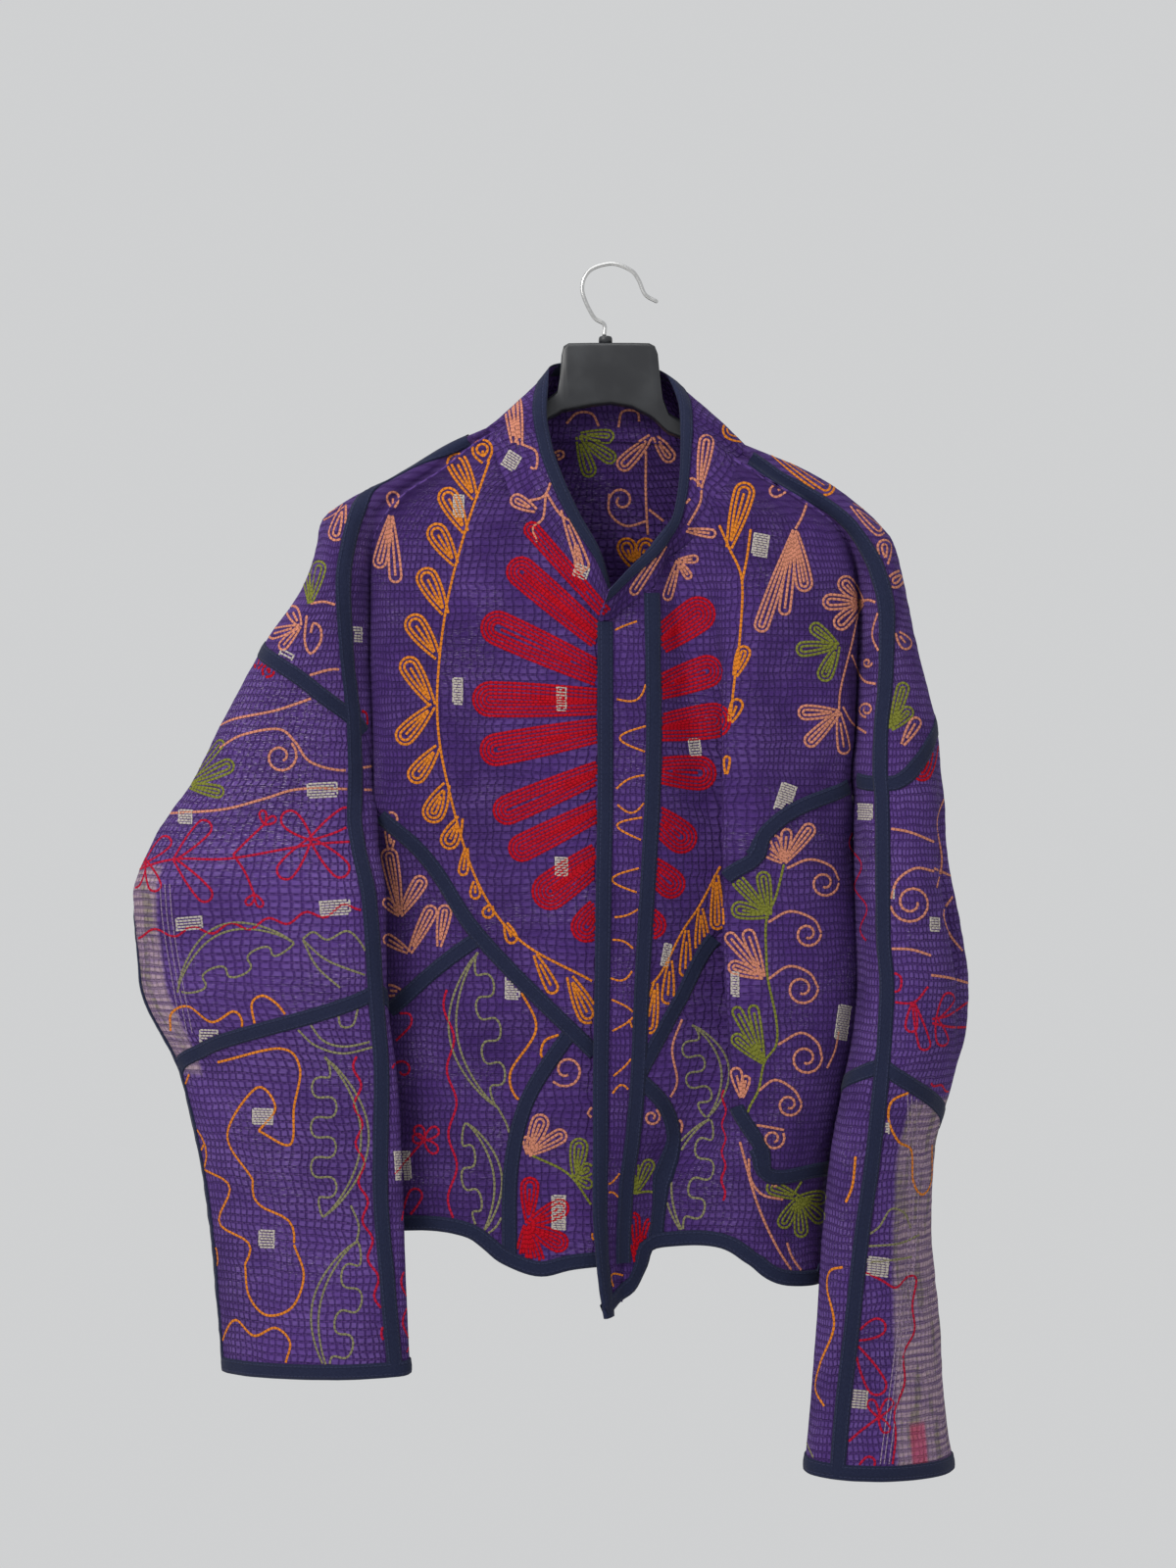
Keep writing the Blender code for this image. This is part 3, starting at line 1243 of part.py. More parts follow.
def add_hanger(plastic, steel):
    neck = list(zip(*(HANGER_NECK[name] for name in ("x", "top", "bottom", "half"))))
    rows = [arm_row(x) for x in HANGER_ARM_LEFT] + neck + [arm_row(x) for x in HANGER_ARM_RIGHT]
    sweep("hanger", [hanger_section(*row) for row in rows], plastic)
    ring = [math.radians(45 * i) for i in range(8)]
    discs = [[Vector((BOSS_X + r * math.cos(t), r * math.sin(t), -drop)) for t in ring]
             for r, drop in ((BOSS_RADIUS - 1, BOSS_TOP), (BOSS_RADIUS, BOSS_TOP + 1),
                             (BOSS_RADIUS, BOSS_BASE))]
    sweep("hanger_boss", discs, plastic)
    path = spline(HOOK, 7.0)
    profiles = []
    for i, point in enumerate(path):
        along = (path[min(i + 1, len(path) - 1)] - path[max(i - 1, 0)]).normalized()
        side = Vector((along[1], 0, along[0]))
        centre = Vector((point[0], 0, -point[1]))
        profiles.append([centre + side * (WIRE / 2 * math.cos(t)) + Vector((0, WIRE / 2 * math.sin(t), 0))
                         for t in ring])
    sweep("hook", profiles, steel)


# Assembly

def clear_scene():
    for obj in list(bpy.data.objects):
        bpy.data.objects.remove(obj, do_unlink=True)


def body_panels():
    return {
        "front_left_upper": left_front_at(-90, 350),
        "front_left_side": left_front_at(-150, 470),
        "front_left_lower": left_front_at(-110, 620),
        "front_left_corner": left_front_at(-25, 650),
        "back": (0, 400),
        "front_right_upper": right_side_at(120, 300),
        "front_right_side": right_side_at(135, 520),
        "front_right_lower": right_side_at(110, 695),
        "front_right_corner": right_middle_at(24, 680),
        "placket": (RIGHT_EDGE - PLACKET / 2, 500),
    }


def sleeve_panels(side, word):
    top, end = ELBOW[side]
    high, low = top_a(side, top), top_a(side, end)
    return {
        word + "_sleeve_back_upper": (high + 40, top - 50),
        word + "_sleeve_front_upper": (high - 60, top - 50),
        word + "_sleeve_back_lower": (low + 40, end + 50),
        word + "_sleeve_front_lower": (low - 60, end + 50),
    }


def build():
    clear_scene()
    cotton = material("violet_cotton", VIOLET, 0.9)
    navy = material("navy_cotton", NAVY, 0.85)
    plastic = material("dark_plastic", PLASTIC, 0.45)
    steel = material("steel_wire", STEEL, 0.3, 1.0)
    arms = {side: Arm(side) for side in (LEFT, RIGHT)}
    body = Body(arms)
    groups, outward = {}, {}
    sheet = body.build_sheet()
    for name, seed in body_panels().items():
        groups[name], outward[name] = sheet.triangles(seed), 1
    for side, word in ((LEFT, "left"), (RIGHT, "right")):
        sheet = arms[side].build_sheet()
        for name, seed in sleeve_panels(side, word).items():
            groups[name], outward[name] = sheet.triangles(seed), -side
    skin = Skin(groups, outward)
    for name, triangles in groups.items():
        add_panel(name, triangles, skin, cotton)
    add_trims(arms, body, skin, navy)
    add_collar(body.neck, skin, cotton, navy)
    add_hanger(plastic, steel)


def add_trims(arms, body, skin, navy):
    for name, trim in zip(BODY_STRIPS, body.strips()):
        add_strip(name, trim, skin, navy)
    for name, edge, inner in zip(("hem_left", "hem_back", "hem_right"), body.hems, body.hem_inner):
        add_binding(name, edge_stations(body_point, edge, inner, skin), navy)
    edge = body.placket_edge[:-1]
    inner = [p - Vector((BINDING_WIDTH, 0)) for p in edge]
    add_binding("placket_binding", edge_stations(body_point, edge, inner, skin), navy)
    for side, word in ((LEFT, "left"), (RIGHT, "right")):
        arm = arms[side]
        parts = ["top", "hole_back", "under", "elbow_back", "elbow_front"]
        if side == RIGHT:
            parts.append("hole_front")
        for part in parts:
            add_strip(word + "_strip_" + part, getattr(arm, part), skin, navy)
        stations = edge_stations(arm.place, arm.cuff, arm.cuff_inner, skin)
        add_binding(word + "_cuff_binding", stations, navy, closed=True)


build()
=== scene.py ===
import math
from bisect import bisect_right
from functools import lru_cache
from itertools import accumulate

import bpy
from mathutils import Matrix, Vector, kdtree, noise
from mathutils.bvhtree import BVHTree


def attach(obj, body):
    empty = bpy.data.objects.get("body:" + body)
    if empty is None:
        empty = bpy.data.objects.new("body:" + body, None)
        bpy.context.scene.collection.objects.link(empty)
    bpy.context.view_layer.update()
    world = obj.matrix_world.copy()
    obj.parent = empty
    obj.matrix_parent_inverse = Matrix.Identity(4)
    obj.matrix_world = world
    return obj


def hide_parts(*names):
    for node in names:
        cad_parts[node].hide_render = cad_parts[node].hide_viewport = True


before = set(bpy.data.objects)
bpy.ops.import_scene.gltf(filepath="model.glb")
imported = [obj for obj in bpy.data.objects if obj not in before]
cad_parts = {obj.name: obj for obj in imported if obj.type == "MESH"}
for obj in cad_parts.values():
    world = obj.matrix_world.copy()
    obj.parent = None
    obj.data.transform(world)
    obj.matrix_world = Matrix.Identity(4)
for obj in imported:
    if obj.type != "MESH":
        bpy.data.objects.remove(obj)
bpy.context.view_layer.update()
mm = 0.001
left, right = -1, 1
sides = ((left, "left"), (right, "right"))


# the garment's form: widths across the cut, and drops below the hook, in millimetres

def table(header, *rows):
    return {name: [row[i] for row in rows] for i, name in enumerate(header.split())}


pattern = {
    "torso": 200.0,          # centre to the dip beside a sleeve
    "arm": 380.0,            # once round the sleeve
    "rightFront": 300.0,     # cloth from the sleeve to the placket's edge
    "placket": 45.0,
    "placketLift": 3.5,      # over the left front
    "turnFrom": 0.4,         # the placket turns out about this share of its width
    "foldStart": 90.0,       # the deep fold of the right front, from the placket's edge
    "foldEnd": 160.0,
    "foldWidth": 70.0,       # as it shows, less what its overlap takes up
    "foldGather": 2.7,
    "foldBefore": 0.72,      # share of its width before the ridge
    "foldShift": 0.98,
    "fullDip": 150.0,        # near the neck the front is narrower than this, and the fold with it
    "sideRelax": 60.0,       # drop over which the body's side settles below the underarm
    "sideDepth": -3.0,       # its y there
    "closeOver": 5.0,        # drop over which the way into a sleeve closes
    "edgeRound": 0.6,        # lower is a sharper turn at the sides
    "underarm": {left: 382.0, right: 373.0},
    "topStart": {left: 130.0, right: 144.0},
    "elbow": {left: (526.0, 590.0), right: (577.0, 632.0)},
    "cuff": {left: (797.0, 806.0), right: (862.0, 868.0)},
    "cornerReach": 60.0,     # the left corner panel runs on this far under the placket
    "elbowReach": 20.0,      # above and below the elbow's low end
}
torso, armRound = pattern["torso"], pattern["arm"]
sideU = torso + armRound
leftEdge, rightEdge = sideU + torso, sideU + pattern["rightFront"]
placketU = rightEdge - pattern["placket"]

# For each drop, in front view: the sleeve's outer edge, the dip between body and sleeve, the sleeve's inner
# edge and its top seam. Then the depth to the front and back, how open the sleeve is to the body, the
# sleeve's middle, its half depth, and how far its inner edge leans to the front.
levels = {
    left: table(
        "drop edge dip inner top front back open armY armD lean",
        (118, 87, 72, 72, 82, 18, 16, 1.00, 0, 16, 0),
        (133, 122, 96, 96, 110, 25, 20, 1.00, 0, 20, 0),
        (157, 161, 126, 126, 158, 31, 24, 1.00, -1, 25, 0),
        (171, 190, 148, 148, 177, 34, 26, 0.95, -2, 28, 0),
        (189, 211, 164, 164, 184, 37, 28, 0.80, -4, 32, 0),
        (205, 214, 171, 171, 188, 39, 29, 0.60, -6, 34, 0),
        (234, 223, 174, 174, 192, 42, 30, 0.38, -9, 35, 1),
        (278, 253, 174, 174, 190, 45, 30, 0.24, -14, 34, 2),
        (341, 285, 172, 172, 184, 47, 29, 0.16, -20, 30, 3),
        (382, 305, 171, 171, 183, 48, 28, 0.14, -24, 27, 4),
        (400, 318, 174, 168, 183, 48, 28, 0.0, -27, 25, 8),
        (425, 333, 173, 166, 179, 49, 27, 0.0, -32, 24, 14),
        (460, 346, 171, 160, 171, 49, 27, 0.0, -36, 23, 18),
        (520, 344, 168, 160, 167, 50, 27, 0.0, -31, 22, 22),
        (590, 313, 166, 152, 162, 50, 26, 0.0, -33, 20, 24),
        (660, 297, 164, 148, 163, 50, 26, 0.0, -34, 20, 25),
        (730, 288, 165, 146, 158, 49, 26, 0.0, -33, 22, 25),
        (800, 283, 165, 143, 152, 48, 26, 0.0, -31, 25, 24)),
    right: table(
        "drop edge dip inner top front back open armY armD lean",
        (120, 72, 52, 52, 60, 20, 16, 1.00, 0, 16, 0),
        (132, 99, 70, 70, 84, 26, 20, 1.00, 0, 20, 0),
        (148, 138, 92, 92, 106, 32, 24, 1.00, 0, 25, 0),
        (160, 160, 110, 110, 121, 36, 26, 1.00, -1, 29, 0),
        (177, 182, 138, 138, 151, 40, 28, 0.95, -3, 32, 0),
        (192, 197, 158, 158, 170, 42, 29, 0.80, -5, 34, 0),
        (204, 205, 168, 168, 179, 44, 30, 0.62, -7, 35, 0),
        (227, 211, 175, 175, 190, 46, 31, 0.44, -10, 36, 0),
        (258, 217, 178, 178, 196, 48, 31, 0.32, -14, 37, 0),
        (300, 226, 177, 177, 195, 51, 31, 0.22, -18, 38, 0),
        (345, 236, 175, 175, 191, 53, 30, 0.16, -22, 39, 2),
        (373, 239, 172, 172, 190, 54, 30, 0.14, -25, 40, 4),
        (390, 241, 174, 174, 191, 54, 29, 0.0, -27, 41, 4),
        (421, 242, 176, 174, 191, 55, 28, 0.0, -30, 42, 5),
        (484, 253, 180, 175, 191, 56, 28, 0.0, -32, 43, 7),
        (519, 258, 182, 176, 193, 56, 27, 0.0, -34, 43, 8),
        (554, 256, 180, 173, 191, 56, 27, 0.0, -36, 42, 9),
        (589, 246, 173, 166, 188, 56, 27, 0.0, -39, 40, 10),
        (645, 232, 162, 155, 182, 56, 26, 0.0, -44, 35, 12),
        (700, 230, 156, 149, 174, 55, 26, 0.0, -48, 32, 14),
        (760, 234, 156, 145, 167, 55, 26, 0.0, -51, 32, 14),
        (820, 238, 156, 140, 160, 55, 26, 0.0, -53, 33, 14),
        (880, 246, 156, 134, 155, 55, 26, 0.0, -55, 34, 14)),
}

# The right front's middle: the placket's edge, its seam and how far it turns out, the hollow beside it,
# and the fold's ridge, overlap and lift. Below: where the left front ends under the placket.
rightMiddle = table(
    "drop edge seam turn recess ridge overlap lift",
    (180, -9, 31, 0, 3, 82, 0, 0), (240, -9, 31, 0, 6, 84, 4, 2), (309, -9, 31, 0, 10, 80, 9, 4),
    (380, -9, 29, 0, 13, 79, 14, 6), (442, -10, 25, 0, 15, 78, 17, 8), (520, -11, 20, 2, 15, 80, 16, 10),
    (590, -12, 17, 5, 15, 84, 12, 12), (630, -12, 14, 9, 15, 85, 6, 8), (668, -12, 10, 13, 15, 84, 0, 2),
    (715, -9, 8, 17, 16, 80, 0, 0), (757, -4, 8, 18, 16, 80, 0, 0))
leftUnder = table("drop x", (300, 10), (520, 6), (590, 2), (668, -3), (757, -3))
# Round a sleeve, from its inner edge over the front: the armhole's drop, and the underarm seam's angle.
armholes = {
    left: table("angle drop", (0, 382), (12, 356), (30, 339), (64, 320), (101, 300), (140, 287),
                (180, 280), (225, 288), (270, 315), (320, 352), (360, 382)),
    right: table("angle drop", (0, 373), (52, 379), (75, 379), (92, 375), (112, 364), (143, 345),
                 (180, 333), (225, 324), (270, 334), (320, 356), (360, 373)),
}
underSeams = {
    left: table("drop angle", (382, 360), (402, 300), (432, 238), (470, 194), (530, 184), (650, 182),
                (800, 180)),
    right: table("drop angle", (373, 360), (395, 300), (432, 248), (490, 222), (570, 208), (880, 200)),
}

# Soft creases: middle and half width across the cloth, middle and half length down it, depth, slant.
sleeveCreases = {
    left: table("angle width drop length depth slant",
                (95, 16, 470, 90, 4.0, 0.10), (140, 13, 560, 80, 3.5, -0.12), (70, 13, 640, 90, 3.0, 0.05),
                (120, 12, 730, 70, 3.0, 0.06), (245, 15, 500, 90, 4.0, 0.08), (290, 14, 640, 90, 3.5, -0.06)),
    right: table("angle width drop length depth slant",
                 (152, 15, 480, 130, 13.0, 0.02), (60, 10, 560, 60, 3.0, 0.05),
                 (118, 11, 700, 110, 4.0, 0.04), (80, 12, 800, 70, 3.0, -0.05),
                 (250, 14, 520, 100, 4.0, 0.05), (300, 14, 720, 110, 4.0, -0.04)),
}
bodyCreases = table(
    "x width drop length depth slant facing",
    (-70, 26, 610, 150, 5.0, 0.05, -1), (-135, 16, 480, 130, 5.0, -0.05, -1),
    (-35, 14, 650, 100, 4.0, 0.0, -1), (55, 12, 640, 90, 4.0, 0.03, -1), (128, 16, 690, 60, 5.0, 0.1, -1),
    (-105, 22, 520, 210, 8.0, 0.03, 1), (-20, 26, 560, 230, 7.0, 0.0, 1), (80, 22, 500, 220, 8.0, -0.03, 1),
    (140, 16, 600, 130, 6.0, 0.02, 1), (20, 40, 190, 60, 4.0, 0.0, 1))

# Front-view lines, as x and drop.
lines = {
    "leftNeck": ((-6, 267), (-28, 234), (-45, 211), (-64, 186), (-74, 167), (-81, 152), (-86, 138)),
    "rightNeck": ((0, 262), (12, 252), (34, 231), (52, 209), (68, 189), (80, 167), (90, 148)),
    "backNeck": 124.0,
    "leftShoulderNeck": ((0, 127), (90, 123), (180, 119.5), (270, 121), (360, 125)),
    "rightShoulderNeck": ((360, 130), (250, 131), (180, 131), (108, 135), (60, 142)),
    "leftHem": ((12, 722), (-28, 725), (-52, 730), (-78, 721), (-92, 710), (-106, 702), (-135, 699),
                (-165, 704)),
    "footHem": ((-4, 757), (12, 744), (20, 736), (26, 724), (29, 713)),
    "foldHem": ((722, 720), (736, 711), (750, 708), (770, 709)),   # as places on the cut
    "rightHem": ((112, 731), (128, 736), (150, 737)),
    "backHem": (704, 706, 734),
    "leftDiagonalStart": 386.0,
    "leftDiagonal": ((-140, 425), (-94, 489), (-12, 571)),
    "leftBranch": ((-94, 489), (-152, 536)),
    "leftBranchEnd": 549.0,
    "leftCorner": ((-30, 556), (-60, 605), (-72, 655), (-73, 712)),
    "rightDiagonalStart": 376.0,
    "rightDiagonalSide": ((140, 393), (110, 413), (84, 433)),
    "rightDiagonalMiddle": ((74, 490), (48, 535), (22, 581)),
    "rightDiagonalEnd": 590.0,
    "rightBranch": ((93, 636), (112, 657), (146, 655)),
    "rightBranchEnd": 655.0,
    "foldDiagonal": 462.0,   # drops where the two seams pass inside the deep fold
    "foldBranch": 570.0,
    "rightCorner": ((25, 588), (38, 610), (43, 640), (40, 675), (34, 711)),
    "neckFall": {left: 16.0, right: 2.0},   # past the neck's last place, at each front's edge
    "underPlacket": (3.0, 22.0),            # how far the left diagonal runs on, across and down
    "belowHem": 25.0,
    "aboveNeck": 6.0,
}


def clamp(value, low=0.0, high=1.0):
    return max(low, min(high, value))


def smooth(value):
    value = clamp(value)
    return value * value * (3 - 2 * value)


def steepness(xs, ys, i):
    last = len(xs) - 1
    before = (ys[i] - ys[i - 1]) / (xs[i] - xs[i - 1]) if i > 0 else None
    after = (ys[i + 1] - ys[i]) / (xs[i + 1] - xs[i]) if i < last else None
    if before is None or after is None:
        return after if before is None else before
    return 0.0 if before * after <= 0 else 2 * before * after / (before + after)


def at(rows, name, where, key="drop"):  # a column's value between the rows
    xs, ys = rows[key], rows[name]
    if where <= xs[0]:
        return ys[0]
    if where >= xs[-1]:
        return ys[-1]
    i = bisect_right(xs, where) - 1
    span = xs[i + 1] - xs[i]
    t = (where - xs[i]) / span
    a, b = steepness(xs, ys, i) * span, steepness(xs, ys, i + 1) * span
    return (ys[i] * (2 * t ** 3 - 3 * t ** 2 + 1) + a * (t ** 3 - 2 * t ** 2 + t)
            + ys[i + 1] * (3 * t ** 2 - 2 * t ** 3) + b * (t ** 3 - t ** 2))


@lru_cache(maxsize=None)
def levelAt(side, drop):
    return {name: at(levels[side], name, drop) for name in levels[side]}


@lru_cache(maxsize=None)
def middleAt(drop):
    return {name: at(rightMiddle, name, drop) for name in rightMiddle}


def openness(side, row, drop):
    under = pattern["underarm"][side]
    if drop <= under:
        return row["open"]
    return levelAt(side, under)["open"] * (1 - clamp((drop - under) / pattern["closeOver"]))


def sideY(side, row, drop):
    under = pattern["underarm"][side]
    if drop <= under:
        return row["armY"] - row["lean"]
    edge = levelAt(side, under)
    start = edge["armY"] - edge["lean"]
    return start + (pattern["sideDepth"] - start) * smooth((drop - under) / pattern["sideRelax"])


def creaseDepth(rows, across, drop, name, facing=None):
    total = 0.0
    for i, middle in enumerate(rows[name]):
        if facing is not None and rows["facing"][i] != facing:
            continue
        down = (drop - rows["drop"][i]) / rows["length"][i]
        if abs(down) >= 1:
            continue
        wide = (across - middle - rows["slant"][i] * (drop - rows["drop"][i])) / rows["width"][i]
        total += rows["depth"][i] * math.exp(-wide * wide) * math.cos(down * math.pi / 2) ** 2
    return total


def armSpan(row):  # the sleeve's middle and half width
    return (row["edge"] + row["inner"]) / 2, (row["edge"] - row["inner"]) / 2


def armPoint(side, angle, drop):
    row = levelAt(side, drop)
    turn = math.radians(angle % 360.0)
    c, s = math.cos(turn), math.sin(turn)
    mid, half = armSpan(row)
    start = row["armY"] - row["lean"]
    reach = (start + row["front"] if s >= 0 else row["back"] - start) * openness(side, row, drop)
    depth = ((row["armD"] * abs(s)) ** 4 + (reach * max(c, 0.0)) ** 4) ** 0.25
    x, y = -half * c, depth if s < 0 else -depth
    push = creaseDepth(sleeveCreases[side], angle % 360.0, drop, "angle")
    keep = max(1 - push / (math.hypot(x, y) or 1.0), 0.2)
    return Vector((side * (mid + x * keep), row["armY"] - row["lean"] * c + y * keep, -drop))


def backPoint(side, share, drop):
    row = levelAt(side, drop)
    c, s = math.cos(share * math.pi / 2), math.sin(share * math.pi / 2)
    inside = sideY(side, row, drop)
    edge = inside + (row["back"] - inside) * openness(side, row, drop)
    x = side * row["dip"] * s
    y = row["back"] + (edge - row["back"]) * (1 - max(c, 0.0) ** pattern["edgeRound"])
    return Vector((x, y - creaseDepth(bodyCreases, x, drop, "x", facing=1) * max(c, 0.0), -drop))


def frontSide(side, row, drop):
    inside = sideY(side, row, drop)
    return inside - (row["front"] + inside) * openness(side, row, drop)


def leftFrontPoint(share, drop):
    row = levelAt(left, drop)
    c, s = math.cos(share * math.pi / 2), math.sin(share * math.pi / 2)
    start = at(leftUnder, "x", drop)
    x = start - (row["dip"] + start) * s
    share = 1 - max(c, 0.0) ** pattern["edgeRound"]
    y = -row["front"] + (frontSide(left, row, drop) + row["front"]) * share
    return Vector((x, y + creaseDepth(bodyCreases, x, drop, "x", facing=-1) * max(c, 0.0), -drop))


def rightFrontPoint(cloth, drop):  # cloth 0 is the placket's outer edge
    row, mid = levelAt(right, drop), middleAt(drop)
    placket, foldStart, foldEnd = pattern["placket"], pattern["foldStart"], pattern["foldEnd"]
    scale = min(1.0, row["dip"] / pattern["fullDip"])
    front, lift, turnFrom = -row["front"], pattern["placketLift"], pattern["turnFrom"]
    width = pattern["foldWidth"] - pattern["foldGather"] * mid["overlap"]
    foldFrom = mid["ridge"] - pattern["foldBefore"] * width + pattern["foldShift"] * mid["overlap"]
    foldTo = foldFrom + width
    if cloth <= placket:
        share = cloth / placket
        x = mid["edge"] + (mid["seam"] - mid["edge"]) * share
        return Vector((x * scale, front - lift - mid["turn"] * (turnFrom - share), -drop))
    seamY = front - lift + (1 - turnFrom) * mid["turn"]
    if cloth <= foldStart:
        share = (cloth - placket) / (foldStart - placket)
        x = mid["seam"] + (foldFrom - mid["seam"]) * share
        return Vector((x * scale, seamY + (front + mid["recess"] - seamY) * smooth(share), -drop))
    if cloth <= foldEnd:
        share = (cloth - foldStart) / (foldEnd - foldStart)
        x = foldFrom + width * share + mid["overlap"] * math.sin(2 * math.pi * share)
        y = front + mid["recess"] - (mid["recess"] + mid["lift"]) * smooth(share)
        return Vector((x * scale, y, -drop))
    share = (cloth - foldEnd) / (pattern["rightFront"] - foldEnd)
    c, s = math.cos(share * math.pi / 2), math.sin(share * math.pi / 2)
    x = foldTo * scale + (row["dip"] - foldTo * scale) * s
    lifted = front - mid["lift"]
    y = lifted + (frontSide(right, row, drop) - lifted) * (1 - max(c, 0.0) ** pattern["edgeRound"])
    return Vector((x, y + creaseDepth(bodyCreases, x, drop, "x", facing=-1) * max(c, 0.0), -drop))


def bodyPoint(u, drop):  # fronts, shoulders and back in one cut, centre back at u 0
    side, across = (left if u < 0 else right), abs(u)
    if across <= torso:
        return backPoint(side, across / torso, drop)
    if across < sideU:
        return armPoint(side, min(360.0 * (sideU - across) / armRound, 359.999), drop)
    if side == left:
        return leftFrontPoint(1 - (across - sideU) / torso, drop)
    return rightFrontPoint(pattern["rightFront"] - (across - sideU), drop)


armSide = {"leftArm": left, "rightArm": right}


def zonePoint(zone):  # the same cut, held to one zone where its ends part below the underarm
    def place(u, drop):
        if zone == "back":
            return backPoint(left if u < 0 else right, min(abs(u) / torso, 1.0), drop)
        if zone == "leftFront":
            return leftFrontPoint(1 - (-u - sideU) / torso, drop)
        if zone == "rightFront":
            return rightFrontPoint(pattern["rightFront"] - (u - sideU), drop)
        return armPoint(armSide[zone], 360.0 * (sideU - abs(u)) / armRound, drop)
    return place


# lines on the cut

def findU(low, high, x, drop):
    rising = bodyPoint(high, drop).x > bodyPoint(low, drop).x
    for _ in range(24):
        middle = (low + high) / 2
        if (bodyPoint(middle, drop).x < x) == rising:
            low = middle
        else:
            high = middle
    return (low + high) / 2


def frontLine(points, low, high):
    return [Vector((findU(low, high, x, drop), drop)) for x, drop in points]


def leftLine(points):
    return frontLine(points, -sideU, -leftEdge)


def sideLine(points):
    return frontLine(points, sideU, rightEdge - pattern["foldEnd"])


def middleLine(points):
    return frontLine(points, rightEdge - pattern["foldStart"], rightEdge)


def armU(side, angle):
    return side * (torso + armRound * (360.0 - angle) / 360.0)


@lru_cache(maxsize=None)
def topA(side, drop):  # where the strip down the sleeve's top lies, from the underarm
    row = levelAt(side, drop)
    mid, half = armSpan(row)
    return math.degrees(math.acos(clamp((mid - row["top"]) / half, -0.98, 0.98))) * armRound / 360.0


def spline(points, step=4.0):
    points = [Vector(p) for p in points]
    ends = [points[0] * 2 - points[1]] + points + [points[-1] * 2 - points[-2]]
    line = []
    for a, b, c, d in zip(ends, ends[1:], ends[2:], ends[3:]):
        count = max(1, round((c - b).length / step))
        for i in range(count):
            t = i / count
            line.append(0.5 * (2 * b + (c - a) * t + (2 * a - 5 * b + 4 * c - d) * t * t
                               + (3 * b - a - 3 * c + d) * t ** 3))
    return line + [points[-1]]


def steps(first, last, step=4.0):
    count = max(1, round(abs(last - first) / step))
    return [first + (last - first) * i / count for i in range(count + 1)]


def dropAt(line, u):  # the drop of a line that runs one way across the cut
    points = line if line[0][0] < line[-1][0] else line[::-1]
    if u <= points[0][0]:
        return points[0][1]
    for a, b in zip(points, points[1:]):
        if u <= b[0]:
            return a[1] + (b[1] - a[1]) * (u - a[0]) / max(b[0] - a[0], 1e-6)
    return points[-1][1]


def uAt(line, drop):  # the place of a line that runs down the cut
    for a, b in zip(line, line[1:]):
        if drop <= b[1]:
            return a[0] + (b[0] - a[0]) * clamp((drop - a[1]) / max(b[1] - a[1], 1e-6))
    return line[-1][0]


def frameAt(place, u, drop, reach=1.0):  # point, outward normal and the two steps of the cut
    du = (place(u + reach, drop) - place(u - reach, drop)) / (2 * reach)
    dv = (place(u, drop + reach) - place(u, drop - reach)) / (2 * reach)
    return place(u, drop), du.cross(dv).normalized(), du, dv


def across(place, point, along, width):
    _, _, du, dv = frameAt(place, point[0], point[1])
    guu, guv, gvv = du.dot(du), du.dot(dv), dv.dot(dv)
    step = Vector((-(guv * along[0] + gvv * along[1]), guu * along[0] + guv * along[1]))
    return step * (width / max((du * step[0] + dv * step[1]).length, 1e-6))


def lengthsAlong(spots):
    return list(accumulate(((b - a).length for a, b in zip(spots, spots[1:])), initial=0.0))


def heading(line, i):
    return line[min(i + 1, len(line) - 1)] - line[max(i - 1, 0)]


def even(line, place, spacing):  # stations along a line, by its true length on the cloth
    lengths = lengthsAlong([place(p[0], p[1]) for p in line])
    count = max(1, round(lengths[-1] / spacing))
    result = []
    for k in range(count + 1):
        want = lengths[-1] * k / count
        i = min(max(bisect_right(lengths, want) - 1, 0), len(line) - 2)
        span = lengths[i + 1] - lengths[i]
        share = clamp((want - lengths[i]) / span if span > 1e-9 else 0.0)
        result.append(line[i].lerp(line[i + 1], share))
    return result


# seams, each a line of places (u, drop) on the cut

def holeDrop(side, a):
    return at(armholes[side], "drop", a * 360.0 / armRound, "angle")


def sleeveSeams(side):
    def mirror(a, drop):
        return Vector((side * (sideU - a), drop))
    last = pattern["cuff"][side][0]
    high, low = elbowEnds(side)
    before = low - Vector((armRound, 0))
    return {
        "hole": [mirror(a, holeDrop(side, a)) for a in steps(0, armRound, 3.0)],
        "cuff": [mirror(a, cuffDrop(side, a)) for a in steps(0, armRound, 3.0)],
        "top": [mirror(topA(side, d), d) for d in steps(pattern["topStart"][side], last)],
        "under": [mirror(underA(side, d), d) for d in steps(pattern["underarm"][side], last + 4)],
        "elbowBack": [mirror(*high.lerp(low, t / 60)) for t in range(61)],
        "elbowFront": [mirror(*before.lerp(high, t / 60)) for t in range(61)],
    }


def cuffDrop(side, a):
    inner, outer = pattern["cuff"][side]
    return inner + (outer - inner) * (1 - math.cos(a * 2 * math.pi / armRound)) / 2


def underA(side, drop):
    return at(underSeams[side], "angle", drop) * armRound / 360.0


@lru_cache(maxsize=None)
def elbowEnds(side):
    top, end = pattern["elbow"][side]
    return Vector((topA(side, top), top)), Vector((underA(side, end), end))


def nearest(line, place):
    return min(line, key=lambda p: (p - place).length)


def neckSeam():
    fall = {side: lines[word + "Neck"][0][1] + lines["neckFall"][side] for side, word in sides}
    line = [(-leftEdge, fall[left])] + leftLine(lines["leftNeck"])
    line += [(armU(left, angle), drop) for angle, drop in lines["leftShoulderNeck"]]
    line.append((0, lines["backNeck"]))
    line += [(armU(right, angle), drop) for angle, drop in lines["rightShoulderNeck"]]
    return spline(line + frontLine(lines["rightNeck"][::-1], sideU, rightEdge) + [(rightEdge, fall[right])])


